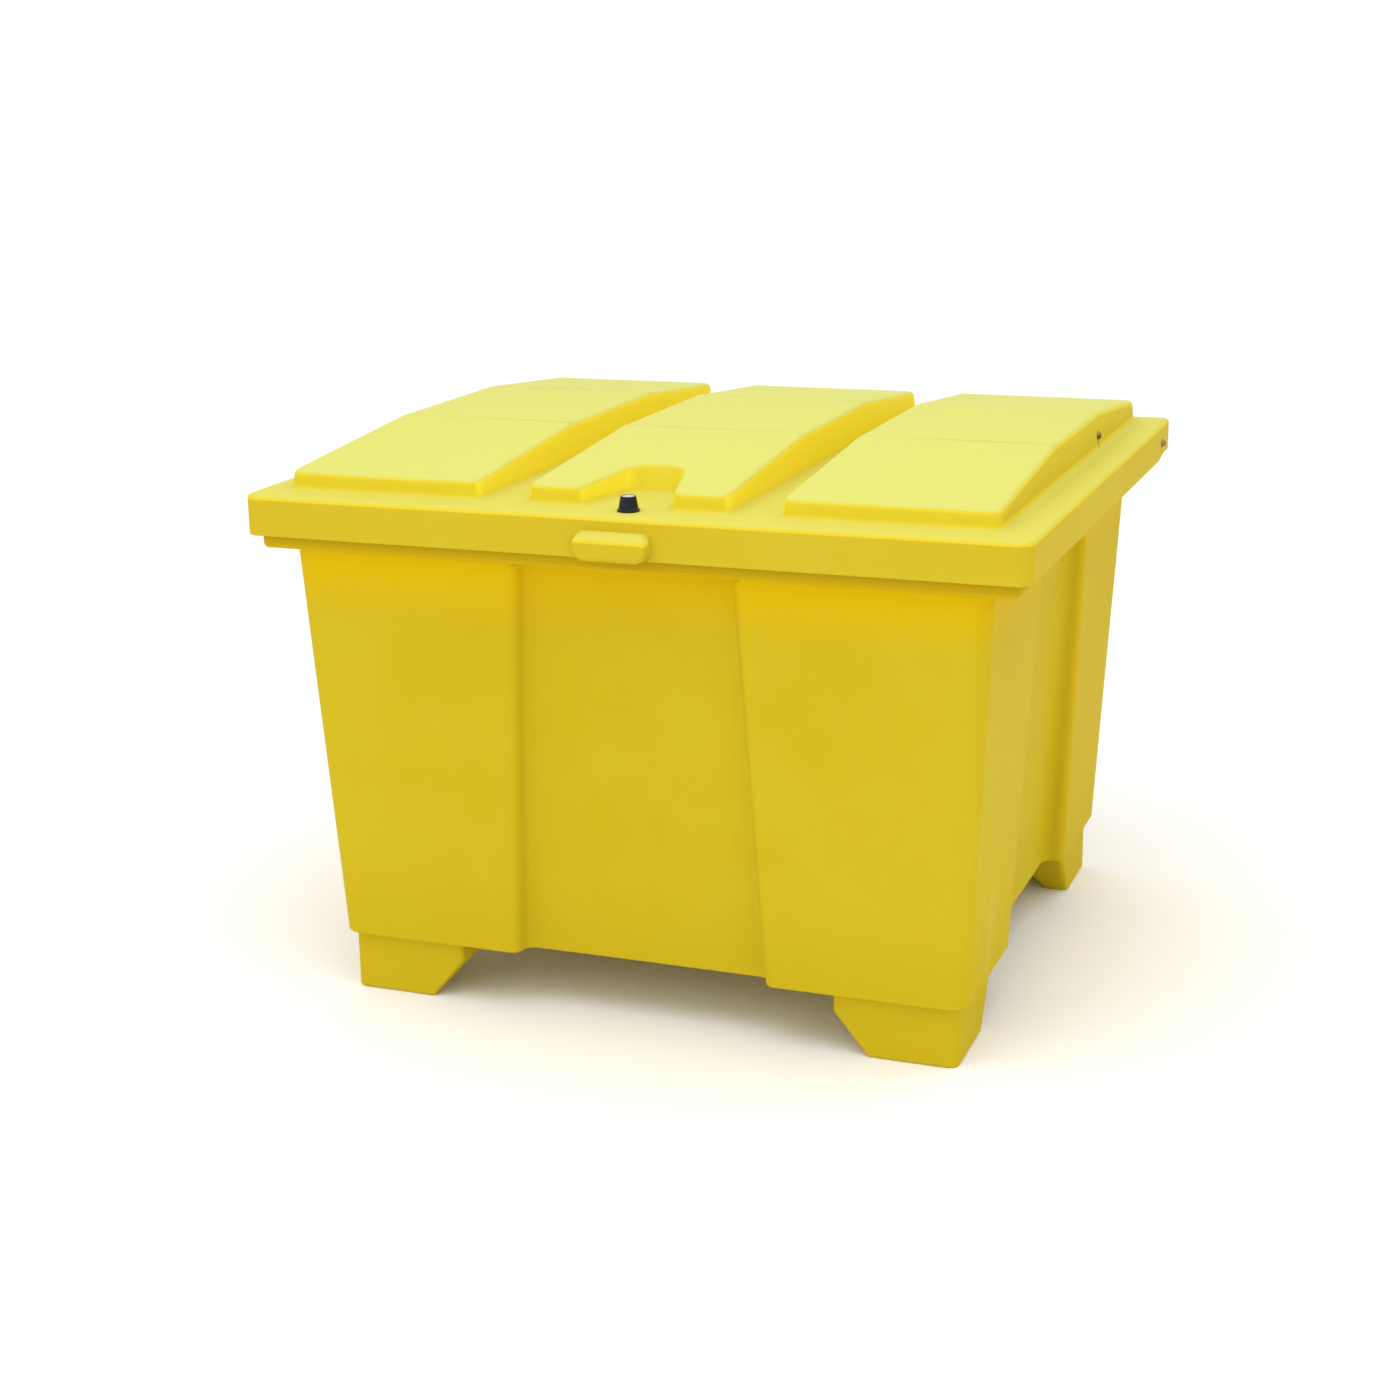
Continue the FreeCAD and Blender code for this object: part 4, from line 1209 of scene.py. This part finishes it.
@dataclass(frozen=True)
class Lamp:
    """A large soft panel light."""

    name: str
    place: Place
    aim: Place
    width: float
    height: float
    power: float


@dataclass
class Studio:
    """Pale floor, soft light and the camera at the photographed angle."""

    camera_place: Place = (1.24075, -3.49064, 1.44940)
    azimuth: float = 20.64
    elevation: float = 15.90
    roll: float = -0.79
    lens: float = 59.41
    sensor: float = 36.0
    floor_half: float = 14.0
    floor_colour: Colour = (0.95, 0.95, 0.95)
    floor_shade: float = 0.985
    floor_roughness: float = 0.9
    floor_gloss: float = 0.1
    sky: Colour = (1.0, 1.0, 1.0)
    sky_strength: float = 1.07
    lamps: tuple[Lamp, ...] = (
        Lamp("overhead_softbox", (0.3, -1.2, 3.6), (0.0, 0.0, 0.7), 3.2, 3.2, 50.0),
        Lamp("front_softbox", (-2.2, -4.2, 2.0), (0.0, 0.0, 0.5), 2.6, 2.2, 8.0),
    )

    def build(self) -> None:
        """Sets up floor, light and camera."""
        self._floor()
        self._sky()
        for lamp in self.lamps:
            self._lamp(lamp)
        self._camera()
        bpy.context.scene.view_settings.view_transform = "Standard"

    def _floor(self) -> None:
        """The pale floor, which isn't part of the bin."""
        form = bmesh.new()
        bmesh.ops.create_grid(form, x_segments=1, y_segments=1, size=self.floor_half)
        mesh = bpy.data.meshes.new("floor")
        form.to_mesh(mesh)
        form.free()
        sheet = ShaderSheet("pale_floor")
        cloud = sheet.noise(sheet.place, 2.0, 3.0)
        shade = tuple(c * self.floor_shade for c in self.floor_colour)
        mesh.materials.append(sheet.surface({
            "Base Color": sheet.mix(cloud, shade, self.floor_colour),
            "Roughness": self.floor_roughness, "Specular IOR Level": self.floor_gloss}))
        floor = linked("floor", mesh)

    def _sky(self) -> None:
        """Even light from all round."""
        world = bpy.data.worlds.new("studio")
        world.use_nodes = True
        background = world.node_tree.nodes["Background"]
        background.inputs["Color"].default_value = (*self.sky, 1.0)
        background.inputs["Strength"].default_value = self.sky_strength
        bpy.context.scene.world = world

    def _lamp(self, lamp: Lamp) -> None:
        """One soft panel light."""
        light = bpy.data.lights.new(lamp.name, "AREA")
        light.shape = "RECTANGLE"
        light.size = lamp.width
        light.size_y = lamp.height
        light.energy = lamp.power
        holder = linked(lamp.name, light)
        holder.location = lamp.place
        aim = Vector(lamp.aim) - Vector(lamp.place)
        holder.rotation_euler = aim.to_track_quat("-Z", "Y").to_euler()

    def _camera(self) -> None:
        """The camera at the photographed angle."""
        data = bpy.data.cameras.new("camera")
        data.lens = self.lens
        data.sensor_width = self.sensor
        data.clip_end = 100.0
        turn = math.radians(self.azimuth)
        tilt = math.radians(self.elevation)
        roll = math.radians(self.roll)
        ahead = Vector((-math.sin(turn) * math.cos(tilt), math.cos(turn) * math.cos(tilt), -math.sin(tilt)))
        level = Vector((math.cos(turn), math.sin(turn), 0.0))
        above = level.cross(ahead)
        right = level * math.cos(roll) + above * math.sin(roll)
        up = above * math.cos(roll) - level * math.sin(roll)
        camera = linked("camera", data)
        turned = Matrix((right, up, -ahead)).transposed().to_4x4()
        camera.matrix_world = Matrix.Translation(self.camera_place) @ turned
        bpy.context.scene.camera = camera


def main() -> None:
    """Builds the bin, its floor, light and camera."""
    logging.basicConfig(level=logging.INFO, format="%(name)s: %(message)s")
    copies = EdgedCopies(Paintbox())
    Mouldings().build()
    winding = Winding()
    Lock(copies, winding).build()
    Fasteners(copies, winding, Repeating()).build()
    dress_struts(copies)
    Studio().build()


if __name__ == "__main__":
    main()
